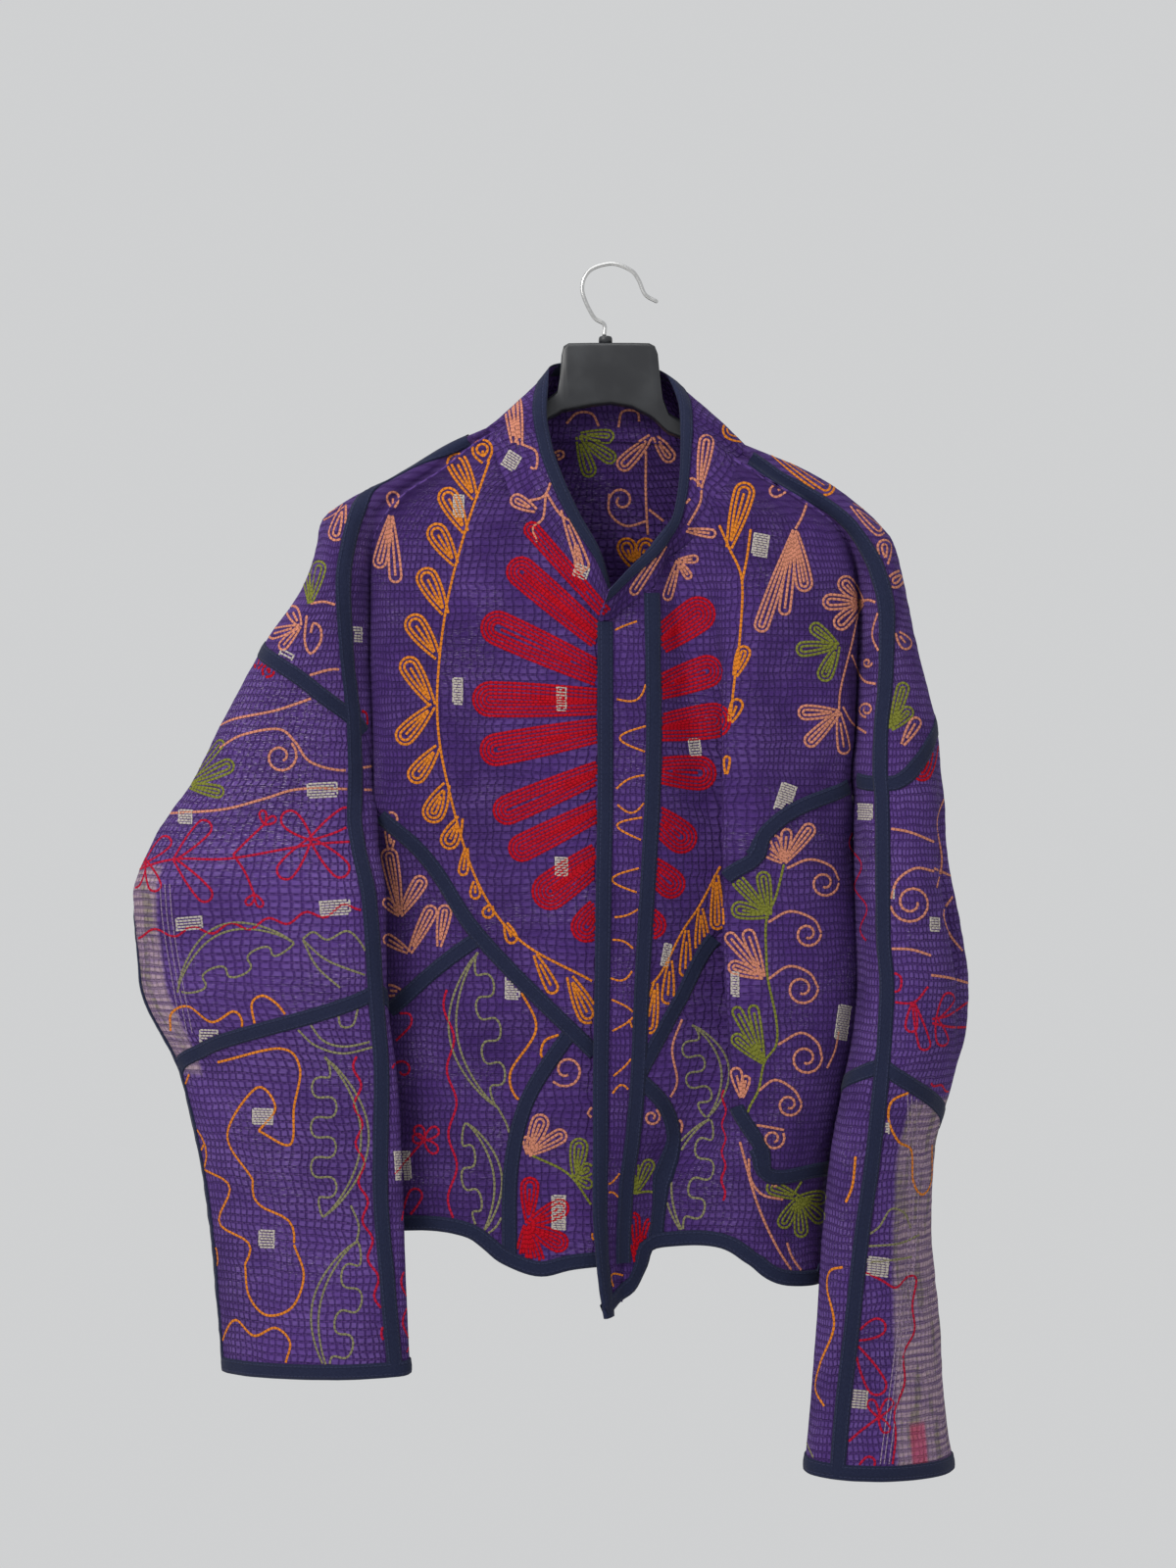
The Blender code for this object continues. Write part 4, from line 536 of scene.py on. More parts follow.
def cornerSeam(diagonal, onFront, points):  # from the diagonal down past the hem
    x, drop = points[-1]
    first, *rest = onFront(points + ((x, drop + lines["belowHem"]),))
    return spline([nearest(diagonal, first)] + rest)


def leftSeams():
    diagonal = spline([(-sideU, lines["leftDiagonalStart"])] + leftLine(lines["leftDiagonal"]))
    first, *rest = leftLine(lines["leftBranch"])
    on, down = lines["underPlacket"]
    return {
        "leftDiagonal": diagonal + [Vector((-leftEdge - on, lines["leftDiagonal"][-1][1] + down))],
        "leftBranch": spline([nearest(diagonal, first)] + rest + [(-sideU, lines["leftBranchEnd"])]),
        "leftCorner": cornerSeam(diagonal, leftLine, lines["leftCorner"]),
    }


def rightSeams():
    foldIn = rightEdge - pattern["foldStart"]
    foldU = rightEdge - (pattern["foldStart"] + pattern["foldEnd"]) / 2
    diagonal = spline([(sideU, lines["rightDiagonalStart"])] + sideLine(lines["rightDiagonalSide"])
                      + [(foldU, lines["foldDiagonal"])] + middleLine(lines["rightDiagonalMiddle"])
                      + [(placketU, lines["rightDiagonalEnd"])])
    start = next(p for p in diagonal if p[0] > foldIn)
    branch = spline([start, (foldIn - 5, start[1] + 18), (foldU, lines["foldBranch"])]
                    + sideLine(lines["rightBranch"]) + [(sideU, lines["rightBranchEnd"])])
    corner = cornerSeam(diagonal, middleLine, lines["rightCorner"])
    return {"rightDiagonal": diagonal, "rightBranch": branch, "rightCorner": corner}


def downSeam(u, first, last):
    return [Vector((u, drop)) for drop in steps(first, last)]


def bodySeams():
    hem, back, foot = lines["leftHem"], lines["backHem"], lines["footHem"]
    neck = neckSeam()
    return {
        "neck": neck,
        "leftHem": spline([(-leftEdge, hem[0][1])] + leftLine(hem[1:-1]) + [(-sideU, hem[-1][1])]),
        "backHem": spline([(-torso, back[0]), (0, back[1]), (torso, back[2])]),
        "rightHem": spline([(sideU, back[2])] + sideLine(lines["rightHem"][::-1]) + list(lines["foldHem"])
                           + middleLine(foot[:0:-1]) + [(rightEdge, foot[0][1])]),
        **leftSeams(), **rightSeams(),
        "placket": downSeam(placketU, dropAt(neck, placketU) - lines["aboveNeck"], foot[0][1]),
        "placketEdge": downSeam(rightEdge, neck[-1][1], foot[0][1]),
        "underEdge": downSeam(-leftEdge, neck[0][1], hem[0][1]),
    }


seams = bodySeams()
arms = {side: sleeveSeams(side) for side in (left, right)}
print("seams laid out")


@lru_cache(maxsize=None)
def seamDrop(name, u):
    return dropAt(seams[name], u)


def bodyRegion(zone, u, drop):  # the panel that holds a place on the cut
    if drop < seamDrop("neck", u):
        return None
    if zone == "back":
        return "back" if drop < seamDrop("backHem", u) else None
    if zone == "leftFront":
        if drop > seamDrop("leftHem", u):
            return None
        if drop < seamDrop("leftDiagonal", u):
            return "front_left_upper"
        branch = seams["leftBranch"]
        if u > branch[0][0] and drop < seamDrop("leftBranch", u):
            return "front_left_side"
        corner = seams["leftCorner"]
        inner = drop > corner[0][1] and u < uAt(corner, drop)
        under = u < corner[0][0] - pattern["cornerReach"]
        return "front_left_corner" if inner or under else "front_left_lower"
    if drop > seamDrop("rightHem", u):
        return None
    if u > placketU:
        return "placket"
    if drop < seamDrop("rightDiagonal", u):
        return "front_right_upper"
    branch = seams["rightBranch"]
    if u < branch[0][0] and drop < seamDrop("rightBranch", u):
        return "front_right_side"
    corner = seams["rightCorner"]
    return "front_right_corner" if drop > corner[0][1] and u > uAt(corner, drop) else "front_right_lower"


def armRegion(zone, u, drop):
    side, word = armSide[zone], zone[:-len("Arm")]
    a = sideU - abs(u)
    if drop < seamDrop("neck", u) or drop > cuffDrop(side, a):
        return None
    if drop < holeDrop(side, a):
        return "front_%s_upper" % word if a < topA(side, drop) else "back"
    half = "front" if a < topA(side, drop) or a > underA(side, drop) else "back"
    high, low = elbowEnds(side)
    if a > underA(side, clamp(drop, low[1] - pattern["elbowReach"], low[1] + pattern["elbowReach"])):
        a -= armRound
    if a > high[0]:
        limit = high[1] + (low[1] - high[1]) * (a - high[0]) / (low[0] - high[0])
    else:
        before = low[0] - armRound
        limit = low[1] + (high[1] - low[1]) * (a - before) / (high[0] - before)
    return "%s_sleeve_%s_%s" % (word, half, "upper" if drop < limit else "lower")


# panels: fine cloth on the same form, gathered by the panel that owns each cell

cloth = {
    "cell": 4.4,             # mesh step along the cloth
    "snap": 0.8,             # share of a cell over which a rim moves onto its seam
    "wall": 1.5,
    "ripple": 0.45,          # waffled puckers of the hand quilting
    "swell": 1.5,            # slack between the folds
    "least": 0.25,           # share of the slack that stays at the tight places
    "settle": 30.0,          # how far from a sleeve's seam the slack is full again
    "shoulder": (130.0, 60.0),
    "zones": {               # the two sides across the cut, the first and the last drop
        "leftFront": (-leftEdge, -sideU, 118.0, 740.0),
        "leftArm": (-sideU, -torso, 112.0, 812.0),
        "back": (-torso, torso, 112.0, 742.0),
        "rightArm": (torso, sideU, 112.0, 872.0),
        "rightFront": (sideU, rightEdge, 112.0, 762.0),
    },
}


def swellAt(u, drop, wide, tall, seed):
    return noise.noise(Vector((u / wide, drop / tall, seed)))


def pucker(u, drop):
    fine = swellAt(u, drop, 13, 8, 3.1) + 0.6 * swellAt(u, drop, 7.5, 7, 9.4)
    slack = swellAt(u, drop, 60, 95, 17.0) + 0.5 * swellAt(u, drop, 26, 44, 5.0)
    return cloth["ripple"] * fine + cloth["swell"] * slack


def weight(u, drop):  # slack settles near seams, edges and the tight places beside the sleeves
    beside = min(abs(abs(u) - torso), abs(abs(u) - sideU))
    start, over = cloth["shoulder"]
    free = smooth(beside / cloth["settle"]) * smooth((drop - start) / over)
    return cloth["least"] + (1 - cloth["least"]) * free


def onCloth(place, u, drop):
    point, normal, _, _ = frameAt(place, u, drop)
    normal = normal if normal.length else Vector((0, -1, 0))
    return point + normal * pucker(u, drop) * weight(u, drop), normal


def seamTree(all):
    dense = [a.lerp(b, i / 4) for line in all for a, b in zip(line, line[1:]) for i in range(4)]
    tree = kdtree.KDTree(len(dense))
    for i, p in enumerate(dense):
        tree.insert((p[0], p[1], 0), i)
    tree.balance()
    return tree


def addObject(name, data, where=(0, 0, 0)):
    obj = bpy.data.objects.new(name, data)
    obj.location = Vector(where) * mm
    bpy.context.scene.collection.objects.link(obj)
    return obj


def addMesh(name, spots, faces, mat, uvs=None, layer="cut"):
    mesh = bpy.data.meshes.new(name)
    mesh.from_pydata([spot * mm for spot in spots], [], faces)
    if uvs:
        mesh.uv_layers.new(name=layer).data.foreach_set("uv", [value * mm for value in uvs])
    mesh.shade_smooth()
    mesh.materials.append(mat)
    return addObject(name, mesh)


def zoneCells(zone):
    low, high, first, last = cloth["zones"][zone]
    columns, rows = steps(low, high, cloth["cell"]), steps(first, last, cloth["cell"])
    place, region = zonePoint(zone), armRegion if zone in armSide else bodyRegion
    owners = [[region(zone, (a + b) / 2, (c + d) / 2) for c, d in zip(rows, rows[1:])]
              for a, b in zip(columns, columns[1:])]
    near = [*arms[armSide[zone]].values(), seams["neck"]] if zone in armSide else seams.values()
    tree = seamTree(near)
    spots = {}

    def spot(i, j):
        if (i, j) in spots:
            return spots[i, j]
        u, drop = columns[i], rows[j]
        owned = {owners[p][q] for p in (i - 1, i) for q in (j - 1, j)
                 if 0 <= p < len(owners) and 0 <= q < len(owners[0])}
        if len(owned) > 1:
            found, _, distance = tree.find((u, drop, 0))
            if distance < cloth["snap"] * cloth["cell"]:
                u = u if i in (0, len(columns) - 1) else found[0]
                drop = found[1]
        spots[i, j] = (onCloth(place, u, drop)[0], (u, drop))
        return spots[i, j]

    for i in range(len(columns) - 1):
        for j in range(len(rows) - 1):
            if owners[i][j]:
                yield owners[i][j], [spot(i, j), spot(i + 1, j), spot(i + 1, j + 1), spot(i, j + 1)]


def gatherPanels():
    panels = {}
    for zone in cloth["zones"]:
        for owner, corners in zoneCells(zone):
            panels.setdefault(owner, []).append(corners)
    return panels


def cellObject(name, cells, mat):
    spots, order, faces, uvs = [], {}, [], []
    for corners in cells:
        face = []
        for point, cut in corners:
            key = tuple(round(value * 8) for value in point)
            if key not in order:
                order[key] = len(spots)
                spots.append(point)
            face.append((order[key], cut))
        kept = [item for k, item in enumerate(face) if item[0] != face[k - 1][0]]
        if len({item[0] for item in kept}) < 3 or len({item[0] for item in kept}) != len(kept):
            continue
        faces.append([item[0] for item in kept])
        for _, cut in kept:
            uvs += cut[:2]
    obj = addMesh(name, spots, faces, mat, uvs)
    shell = obj.modifiers.new("wall", "SOLIDIFY")
    shell.thickness, shell.offset = cloth["wall"] * mm, -1
    return obj


# Shader helpers: a socket with arithmetic, and one way to add any other node.

class Wire:
    def __init__(self, socket, nodes):
        self.socket, self.nodes = socket, nodes

    def __add__(self, other):
        return self.nodes.maths("ADD", self, other)

    def __radd__(self, other):
        return self.nodes.maths("ADD", other, self)

    def __sub__(self, other):
        return self.nodes.maths("SUBTRACT", self, other)

    def __rsub__(self, other):
        return self.nodes.maths("SUBTRACT", other, self)

    def __mul__(self, other):
        return self.nodes.maths("MULTIPLY", self, other)

    def __rmul__(self, other):
        return self.nodes.maths("MULTIPLY", other, self)

    def __truediv__(self, other):
        return self.nodes.maths("DIVIDE", self, other)

    def __rtruediv__(self, other):
        return self.nodes.maths("DIVIDE", other, self)


class Nodes:
    def __init__(self, name):
        self.material = bpy.data.materials.new(name)
        self.material.use_nodes = True
        self.tree = self.material.node_tree
        self.shader = self.tree.nodes["Principled BSDF"]

    def add(self, kind, settings, *values, output=0, **named):
        node = self.tree.nodes.new(kind)
        for key, value in settings.items():
            setattr(node, key, value)
        for key, value in [*enumerate(values), *named.items()]:
            self.plug(node.inputs[key], value)
        return Wire(node.outputs[output], self)

    def plug(self, socket, value):
        if isinstance(value, Wire):
            self.tree.links.new(value.socket, socket)
        elif value is not None:
            socket.default_value = value

    def maths(self, operation, *values):
        return self.add("ShaderNodeMath", {"operation": operation}, *values)

    def cut(self, layer="cut"):  # along and down the cloth, in millimetres
        uv = self.add("ShaderNodeUVMap", {"uv_map": layer})
        along, down = [self.add("ShaderNodeSeparateXYZ", {}, uv, output=k) for k in (0, 1)]
        return along * 1000, down * 1000

    def point(self, x, y, z=0.0):
        return self.add("ShaderNodeCombineXYZ", {}, x, y, z)

    def noise(self, vector, scale, detail=2.0, rough=0.5):
        return self.add("ShaderNodeTexNoise", {}, Vector=vector, Scale=scale, Detail=detail, Roughness=rough)

    def cloud(self, x, y, z=0.0, detail=2.0, rough=0.5):  # noise over a place already scaled
        return self.noise(self.point(x, y, z), 1.0, detail, rough)

    def random(self, value):
        return self.add("ShaderNodeTexWhiteNoise", {"noise_dimensions": "1D"}, W=value)

    def floor(self, value):
        return self.maths("FLOOR", value)

    def part(self, value):
        return self.maths("FRACT", value)

    def wave(self, value):
        return self.maths("SINE", value)

    def size(self, value):
        return self.maths("ABSOLUTE", value)

    def bigger(self, a, b):
        return self.maths("MAXIMUM", a, b)

    def band(self, value, low, high, start=0.0, end=1.0):  # a soft step between two values
        soft = {"interpolation_type": "SMOOTHSTEP"}
        return self.add("ShaderNodeMapRange", soft, value, low, high, start, end)

    def within(self, value, middle, inner, outer):  # 1 near a middle, fading to 0
        return self.band(self.size(value - middle), inner, outer, 1.0, 0.0)

    def mix(self, factor, a, b):
        a, b = [end if isinstance(end, Wire) else (*end, 1.0) for end in (a, b)]
        return self.add("ShaderNodeMix", {"data_type": "RGBA"}, factor, *[None] * 5, a, b, output=2)

    def bump(self, height, depth, under=None):
        return self.add("ShaderNodeBump", {}, Strength=1.0, Distance=depth * mm, Height=height, Normal=under)

    def finish(self, **sockets):
        for name, value in sockets.items():
            self.plug(self.shader.inputs[name.replace("_", " ")], value)
        return self.material


# Violet kantha cotton: rows of running stitch, the puckers between them and a slubbed weave.

kantha = {
    "deep": (0.034, 0.013, 0.092),
    "violet": (0.072, 0.029, 0.180),
    "worn": (0.152, 0.086, 0.300),
    "thread": (0.135, 0.062, 0.245),
    "slub": (0.52, 0.44, 0.60),
    "faded": (0.400, 0.290, 0.330),
    "olive": (0.235, 0.205, 0.130),
    "dye": (0.46, 0.05, 0.12),
    "rowStep": 5.4,          # between the rows of running stitch
    "stitch": 5.0,
    "stitchShare": 0.58,     # the rest of a step is the gap after a stitch
    "pucker": 2.3,
    "weave": 0.20,
    "weaveStep": 0.9,
    "sleeves": (390.0, 186.0, 194.0),       # middle of a sleeve across the cut, and where it ends
    "rubbedAcross": (-455.0, 40.0, 75.0),   # the left sleeve's worn patch: middle, solid, fading
    "rubbedDown": (370.0, 40.0, 95.0),
    "dyeAcross": (452.0, 6.0, 10.0),        # dye run from a red motif at the right cuff
    "dyeDown": (846.0, 14.0, 20.0),
    # faded bands on the sleeves: middle across the cut, half width, first and last drop, depth
    "bands": ((-401, 30, 436, 592, 0.92), (430, 46, 600, 862, 0.92)),
}


def fadedBand(n, u, drop):  # sharp at the woven inner edge, broken into streaks of weft
    broken = n.band(n.cloud(u * 0.03, drop * 0.55, 0.0, 3.0, 0.65), 0.34, 0.56) * 0.55 + 0.45
    masks = []
    for middle, half, first, last, depth in kantha["bands"]:
        ragged = n.cloud(u * 0.05, drop * 0.03) * 5.0 - 2.5
        wide = 1.0 - n.band(n.size(u - middle) + ragged, half * 0.86, half * 1.04)
        down = n.band(drop, first, first + 6) * (1.0 - n.band(drop, last - 8, last))
        masks.append(wide * down * broken * depth)
    return masks[0] + masks[1]


def kanthaCloth(name):
    n = Nodes(name)
    u, drop = n.cut()
    sway = n.cloud(u * 0.02, drop * 0.02) * 7.0 + n.cloud(u * 0.09, drop * 0.05, detail=1.0) * 1.6
    rows = (drop + sway) / kantha["rowStep"]
    shift = n.cloud(u * 0.05, drop * 0.045) * 1.8 + n.random(n.floor(rows)) * 0.16
    aside, beside = n.size(n.part(rows) - 0.5), n.size(n.part(u / kantha["stitch"] + shift) - 0.5)
    halfStitch = 0.5 * kantha["stitchShare"]
    thread = (1.0 - n.band(aside, 0.04, 0.13)) * n.band(beside, halfStitch, halfStitch + 0.10, 1.0, 0.0)
    loose = n.cloud(u * 0.10, drop * 0.12)
    crown, ruck = n.band(aside, 0.02, 0.24), n.band(beside, 0.01, 0.22)
    height = crown * (0.40 + loose * 0.5) + ruck * (0.20 + loose * 0.5) + loose * 0.6
    turn = 2 * math.pi / kantha["weaveStep"]
    warp = n.wave(u * turn) * n.wave(drop * turn)
    normal = n.bump(height + thread * 0.30, kantha["pucker"])
    normal = n.bump(warp * 0.5 + n.cloud(u * 0.16, drop * 1.5, 0.0, 3.0, 0.6), kantha["weave"], normal)
    # the dye: deep and worn patches, lighter on the sleeves; painted shade in the furrows between the
    # puckers, and over the body and collar away from the sleeves
    tone = n.cloud(u * 0.011, drop * 0.013, detail=3.0)
    colour = n.mix(n.band(tone, 0.36, 0.62) * 0.75 + 0.25, kantha["deep"], kantha["violet"])
    sleeve = n.within(n.size(u), *kantha["sleeves"])
    wear = n.band(n.cloud(u * 0.020, drop * 0.024, 4.0, 3.0, 0.6), 0.40, 0.66) * 0.7 + sleeve * 0.35
    uneven = n.band(loose, 0.30, 0.66)
    colour = n.mix(crown * ruck * (wear * 0.50 + uneven * 0.22), colour, kantha["worn"])
    # painted shade: the furrows along the rows and at the stitches darken toward deep violet
    colour = n.mix((1.0 - crown * ruck) * 0.42, colour, kantha["deep"])
    colour = n.mix(thread * (wear * 0.4 + 0.15), colour, kantha["thread"])
    # painted shade: the body and collar, away from the sleeves, darken toward deep violet
    colour = n.mix((1.0 - sleeve) * 0.26, colour, kantha["deep"])
    # pale slubs where the cloth is rubbed
    fleck = n.band(n.cloud(u * 0.22, drop * 2.2, 0.0, 2.0, 0.7), 0.58, 0.70)
    patch = n.band(n.cloud(u * 0.018, drop * 0.02, 6.0), 0.50, 0.66)
    rubbed = n.within(u, *kantha["rubbedAcross"]) * n.within(drop, *kantha["rubbedDown"])
    colour = n.mix(fleck * n.bigger(patch * 0.5, rubbed), colour, kantha["slub"])
    # the faded bands and the dye run
    streak = n.band(n.cloud(u * 0.09, drop * 0.020, 2.0), 0.50, 0.62) * 0.8
    tint = n.mix(streak, kantha["faded"], kantha["olive"])
    tint = n.mix(n.band(aside, 0.10, 0.40, 0.42, 0.0), tint, kantha["violet"])
    colour = n.mix(fadedBand(n, u, drop), colour, tint)
    dyed = n.within(u, *kantha["dyeAcross"]) * n.within(drop, *kantha["dyeDown"])
    colour = n.mix(dyed * 0.7, colour, kantha["dye"])
    return n.finish(Base_Color=colour, Roughness=0.92, Normal=normal, Sheen_Weight=0.05, Sheen_Roughness=0.5,
                    Sheen_Tint=(0.70, 0.55, 0.95, 1.0), Specular_IOR_Level=0.10)


# Navy cotton of the strips and bindings, with a row of topstitching along each edge.

navy = {
    "base": (0.0085, 0.0115, 0.034),
    "light": (0.020, 0.026, 0.062),
    "thread": (0.030, 0.036, 0.085),
    "inset": 1.6,            # topstitching, from the tape's edge
    "stitch": 3.2,
    "twill": 0.8,
}


def navyCotton(name, half):
    n = Nodes(name)
    along, side = n.cut()
    turn = 2 * math.pi / navy["twill"]
    warp = n.wave((along + side) * turn) * 0.5 + n.wave((along - side) * turn) * 0.5
    grain = n.cloud(along * 0.5, side * 1.4, 0.0, 3.0, 0.6)
    edge = n.size(side)
    fromLine = n.size(edge - (half - navy["inset"]))
    dash = n.band(n.size(n.part(along / navy["stitch"]) - 0.5), 0.30, 0.40, 1.0, 0.0)
    stitched = n.band(fromLine, 0.18, 0.42, 1.0, 0.0) * dash
    ruck = n.cloud(along * 0.16, side * 0.1)
    normal = n.bump(n.band(fromLine, 0.3, 1.4) * 0.6 + stitched * 0.5 + ruck * 0.8, 0.55)
    normal = n.bump(warp * 0.4 + grain, 0.14, normal)
    rub = n.band(edge, half - 1.2, half) * n.band(grain, 0.4, 0.7)
    colour = n.mix(n.band(grain, 0.35, 0.7) * 0.5, navy["base"], navy["light"])
    colour = n.mix(rub * 0.4, colour, navy["light"])
    colour = n.mix(stitched * 0.8, colour, navy["thread"])
    return n.finish(Base_Color=colour, Roughness=0.86, Normal=normal, Sheen_Weight=0.05, Sheen_Roughness=0.5,
                    Specular_IOR_Level=0.14)


# Embroidery threads: a chain stitch with patches of paler thread, and painted shade between its links, down
# its middle and along its sides.

threads = {
    "crimson": (0.45, 0.002, 0.012),
    "rose": (0.44, 0.008, 0.036),
    "orange": (0.66, 0.205, 0.020),
    "salmon": (0.58, 0.225, 0.145),
    "olive": (0.185, 0.195, 0.030),
    "khaki": (0.215, 0.200, 0.105),
    "lilac": (0.30, 0.22, 0.32),
    "cream": (0.50, 0.45, 0.40),
}
# dark: the share of the thread colour kept in its painted shade
chain = {"link": 3.4, "half": 1.0, "dark": 0.20, "pale": (1.25, 0.003)}


def threadMaterial(name, colour):
    n = Nodes(name)
    along, side = n.cut("thread")
    aside = n.size(side) / chain["half"]
    link = n.part(along / chain["link"] + aside * 0.30)
    gap = 1.0 - n.band(link, 0.0, 0.20) * (1.0 - n.band(link, 0.78, 1.0))
    core, rim = n.band(aside, 0.0, 0.28, 1.0, 0.0), n.band(aside, 0.62, 1.0)
    ply = n.wave((along * 0.8 + side * 2.4) * 4.0)
    times, plus = chain["pale"]
    pale, dark = [min(1.0, c * times + plus) for c in colour], [c * chain["dark"] for c in colour]
    base = n.mix(n.band(n.cloud(along * 0.05, side * 0.3), 0.35, 0.7) * 0.7, colour, pale)
    # painted shade: darker between the links, down the stitch's middle and along its sides
    base = n.mix(n.bigger(n.bigger(gap * 0.85, core * 0.45), rim * 0.75), base, dark)
    return n.finish(Base_Color=base, Roughness=0.60, Normal=n.bump(link * 0.4 + ply * 0.25, 0.30),
                    Specular_IOR_Level=0.07)


# Plastic and wire of the hanger.

def hangerPlastic():
    n = Nodes("hangerPlastic")
    where = n.add("ShaderNodeTexCoord", {}, output=3)
    haze = n.noise(where, 30.0, 3.0)
    colour = n.mix(n.band(haze, 0.35, 0.7), (0.012, 0.013, 0.016), (0.022, 0.024, 0.028))
    return n.finish(Base_Color=colour, Roughness=n.band(haze, 0.3, 0.7, 0.36, 0.48),
                    Normal=n.bump(n.noise(where, 900.0), 0.03), Specular_IOR_Level=0.5)


def hookSteel():
    n = Nodes("hookSteel")
    drawn = n.noise(n.add("ShaderNodeTexCoord", {}, output=3), 400.0)
    return n.finish(Base_Color=n.mix(drawn, (0.50, 0.50, 0.50), (0.66, 0.66, 0.65)),
                    Roughness=n.band(drawn, 0.3, 0.7, 0.22, 0.34), Metallic=1.0, Normal=n.bump(drawn, 0.02))


# Trim: strips over the seams and bindings folded round the edges

trim = {
    "spacing": 4.0,
    # place across and height over the cloth
    "strip": ((-5.5, 0.1), (-5.35, 0.95), (-3.8, 1.05), (-1.3, 1.35), (1.3, 1.35), (3.8, 1.05),
              (5.35, 0.95), (5.5, 0.1)),
    # from the binding's inner line (0) to the cloth's edge (10), and the height over the cloth
    "binding": ((0.0, 0.1), (0.15, 1.15), (1.8, 1.2), (5.0, 1.5), (8.4, 1.3), (10.3, 0.9), (11.0, 0.0),
                (11.1, -1.0), (10.8, -2.0), (9.6, -2.7), (5.0, -2.8), (0.2, -2.7), (0.0, -1.6)),
    "bindingWidth": 10.0,
    "under": -0.35,          # a strip that passes under another lies lower
    "leftFrom": -614.0,      # where the front strips come out from beside the sleeves, across the cut
    "rightFrom": 606.0,
    "fold": (737.0, 790.0),  # the deep fold hides the strips between these
    "placketStrip": (240.0, 722.0),
    "placketBinding": 262.0,
    "hemGap": 3.0,
    "hemEnd": 2.0,
    "holeEnds": slice(9, -9),
    "underStart": 52.0,      # the strip under the arm starts this far below the underarm
}


def ringObject(name, rings, uvs, mat):
    size, faces, coords = len(rings[0]), [], []
    for k in range(len(rings) - 1):
        for i in range(size - 1):
            faces.append((k * size + i, k * size + i + 1, (k + 1) * size + i + 1, (k + 1) * size + i))
            for row, column in ((k, i), (k, i + 1), (k + 1, i + 1), (k + 1, i)):
                coords += [uvs[row][0], uvs[row][1][column]]
    return addMesh(name, [p for ring in rings for p in ring], faces, mat, coords)


def tapeObject(name, rings, columns, mat):  # its length is taken along the fourth row of points
    lengths = lengthsAlong([ring[3] for ring in rings])
    return ringObject(name, rings, [(length, columns) for length in lengths], mat)


def addStrip(name, line, place, mat, lower):
    line = even(line, place, trim["spacing"])
    rings = []
    for i, point in enumerate(line):
        side = across(place, point, heading(line, i), 1.0)
        ring = []
        for offset, height in trim["strip"]:
            where = point + side * offset
            spot, normal = onCloth(place, where[0], where[1])
            ring.append(spot + normal * (height + lower))
        rings.append(ring)
    return tapeObject(name, rings, [offset for offset, _ in trim["strip"]], mat)


def addBinding(name, stations, mat):  # a station is the inner line, the edge and both normals
    rings, whole = [], trim["bindingWidth"]
    for line, edge, lineUp, edgeUp in stations:
        out = (edge - line).normalized()
        reach = (edge - line).length / whole
        ring = []
        for s, height in trim["binding"]:
            up = lineUp.lerp(edgeUp, clamp(s / whole)).normalized()
            ring.append(line + out * (min(s, whole) * reach + max(0.0, s - whole)) + up * height)
        rings.append(ring)
    middle = whole / 2
    columns = [s - middle if h > -1.3 else middle - s + 12.0 for s, h in trim["binding"]]
    return tapeObject(name, rings, columns, mat)


def edgeStations(line, place, inward):
    line = even(line, place, trim["spacing"])
    stations = []
    for i, point in enumerate(line):
        step = across(place, point, heading(line, i), trim["bindingWidth"])
        step = step if step.dot(Vector(inward)) > 0 else -step
        edge, edgeUp = onCloth(place, point[0], point[1])
        inner, innerUp = onCloth(place, point[0] + step[0], point[1] + step[1])
        stations.append((inner, edge, innerUp, edgeUp))
    return stations


# Collar: a tall stand round the neck, its edge bound in navy

collar = {
    "tuck": 3.2,             # how far the band runs on inside the body's edge
    "edge": table(
        "share x y drop",
        (0.00, 1, -43, 243), (0.06, -8, -44, 214), (0.13, -23, -42, 187), (0.19, -35, -38, 161),
        (0.25, -44, -31, 134), (0.31, -48, -22, 107), (0.38, -46, -3, 76), (0.44, -32, 18, 69),
        (0.52, 0, 25, 68), (0.60, 30, 19, 72), (0.66, 45, -2, 84), (0.73, 51, -23, 112),
        (0.80, 50, -37, 150), (0.86, 45, -46, 186), (0.92, 30, -54, 209), (0.97, 11, -61, 229),
        (1.00, -2, -65, 243)),
    "bulge": 3.0,
    "lift": 0.3,
    "rows": 15,
    "binding": 9.0,
    "ripple": 0.5,
    "inside": 0.6,
    "cutAt": 2000.0,         # its place across the cut, away from the body's
}


def collarEdge(share):
    x, y, drop = [at(collar["edge"], name, share, "share") for name in ("x", "y", "drop")]
    return Vector((x, y, -drop))


def collarGrid():
    line = even(seams["neck"], bodyPoint, trim["spacing"])
    spots = [bodyPoint(p[0], p[1]) for p in line]
    lengths = lengthsAlong(spots)
    normals = [frameAt(bodyPoint, p[0], p[1], 5.0)[1] for p in line]
    normals = [sum(normals[max(0, i - 3):i + 4], Vector()).normalized() for i in range(len(line))]
    grid = []
    for spot, length, out in zip(spots, lengths, normals):
        edge = collarEdge(length / lengths[-1])
        rise = edge - spot
        out = (out - rise * (out.dot(rise) / rise.length_squared)).normalized()
        start = spot + rise.normalized() * (collar["lift"] - collar["tuck"]) - out * collar["inside"]
        column = []
        for j in range(collar["rows"]):
            t = j / (collar["rows"] - 1)
            full = math.sin(math.pi * t)
            wave = noise.noise(Vector((length / 14, t * 6, 30.0))) * collar["ripple"] * full
            place = start.lerp(edge, t) + out * (collar["bulge"] * full + wave)
            column.append((place, (length + collar["cutAt"], -t * rise.length), out))
        grid.append(column)
    return grid


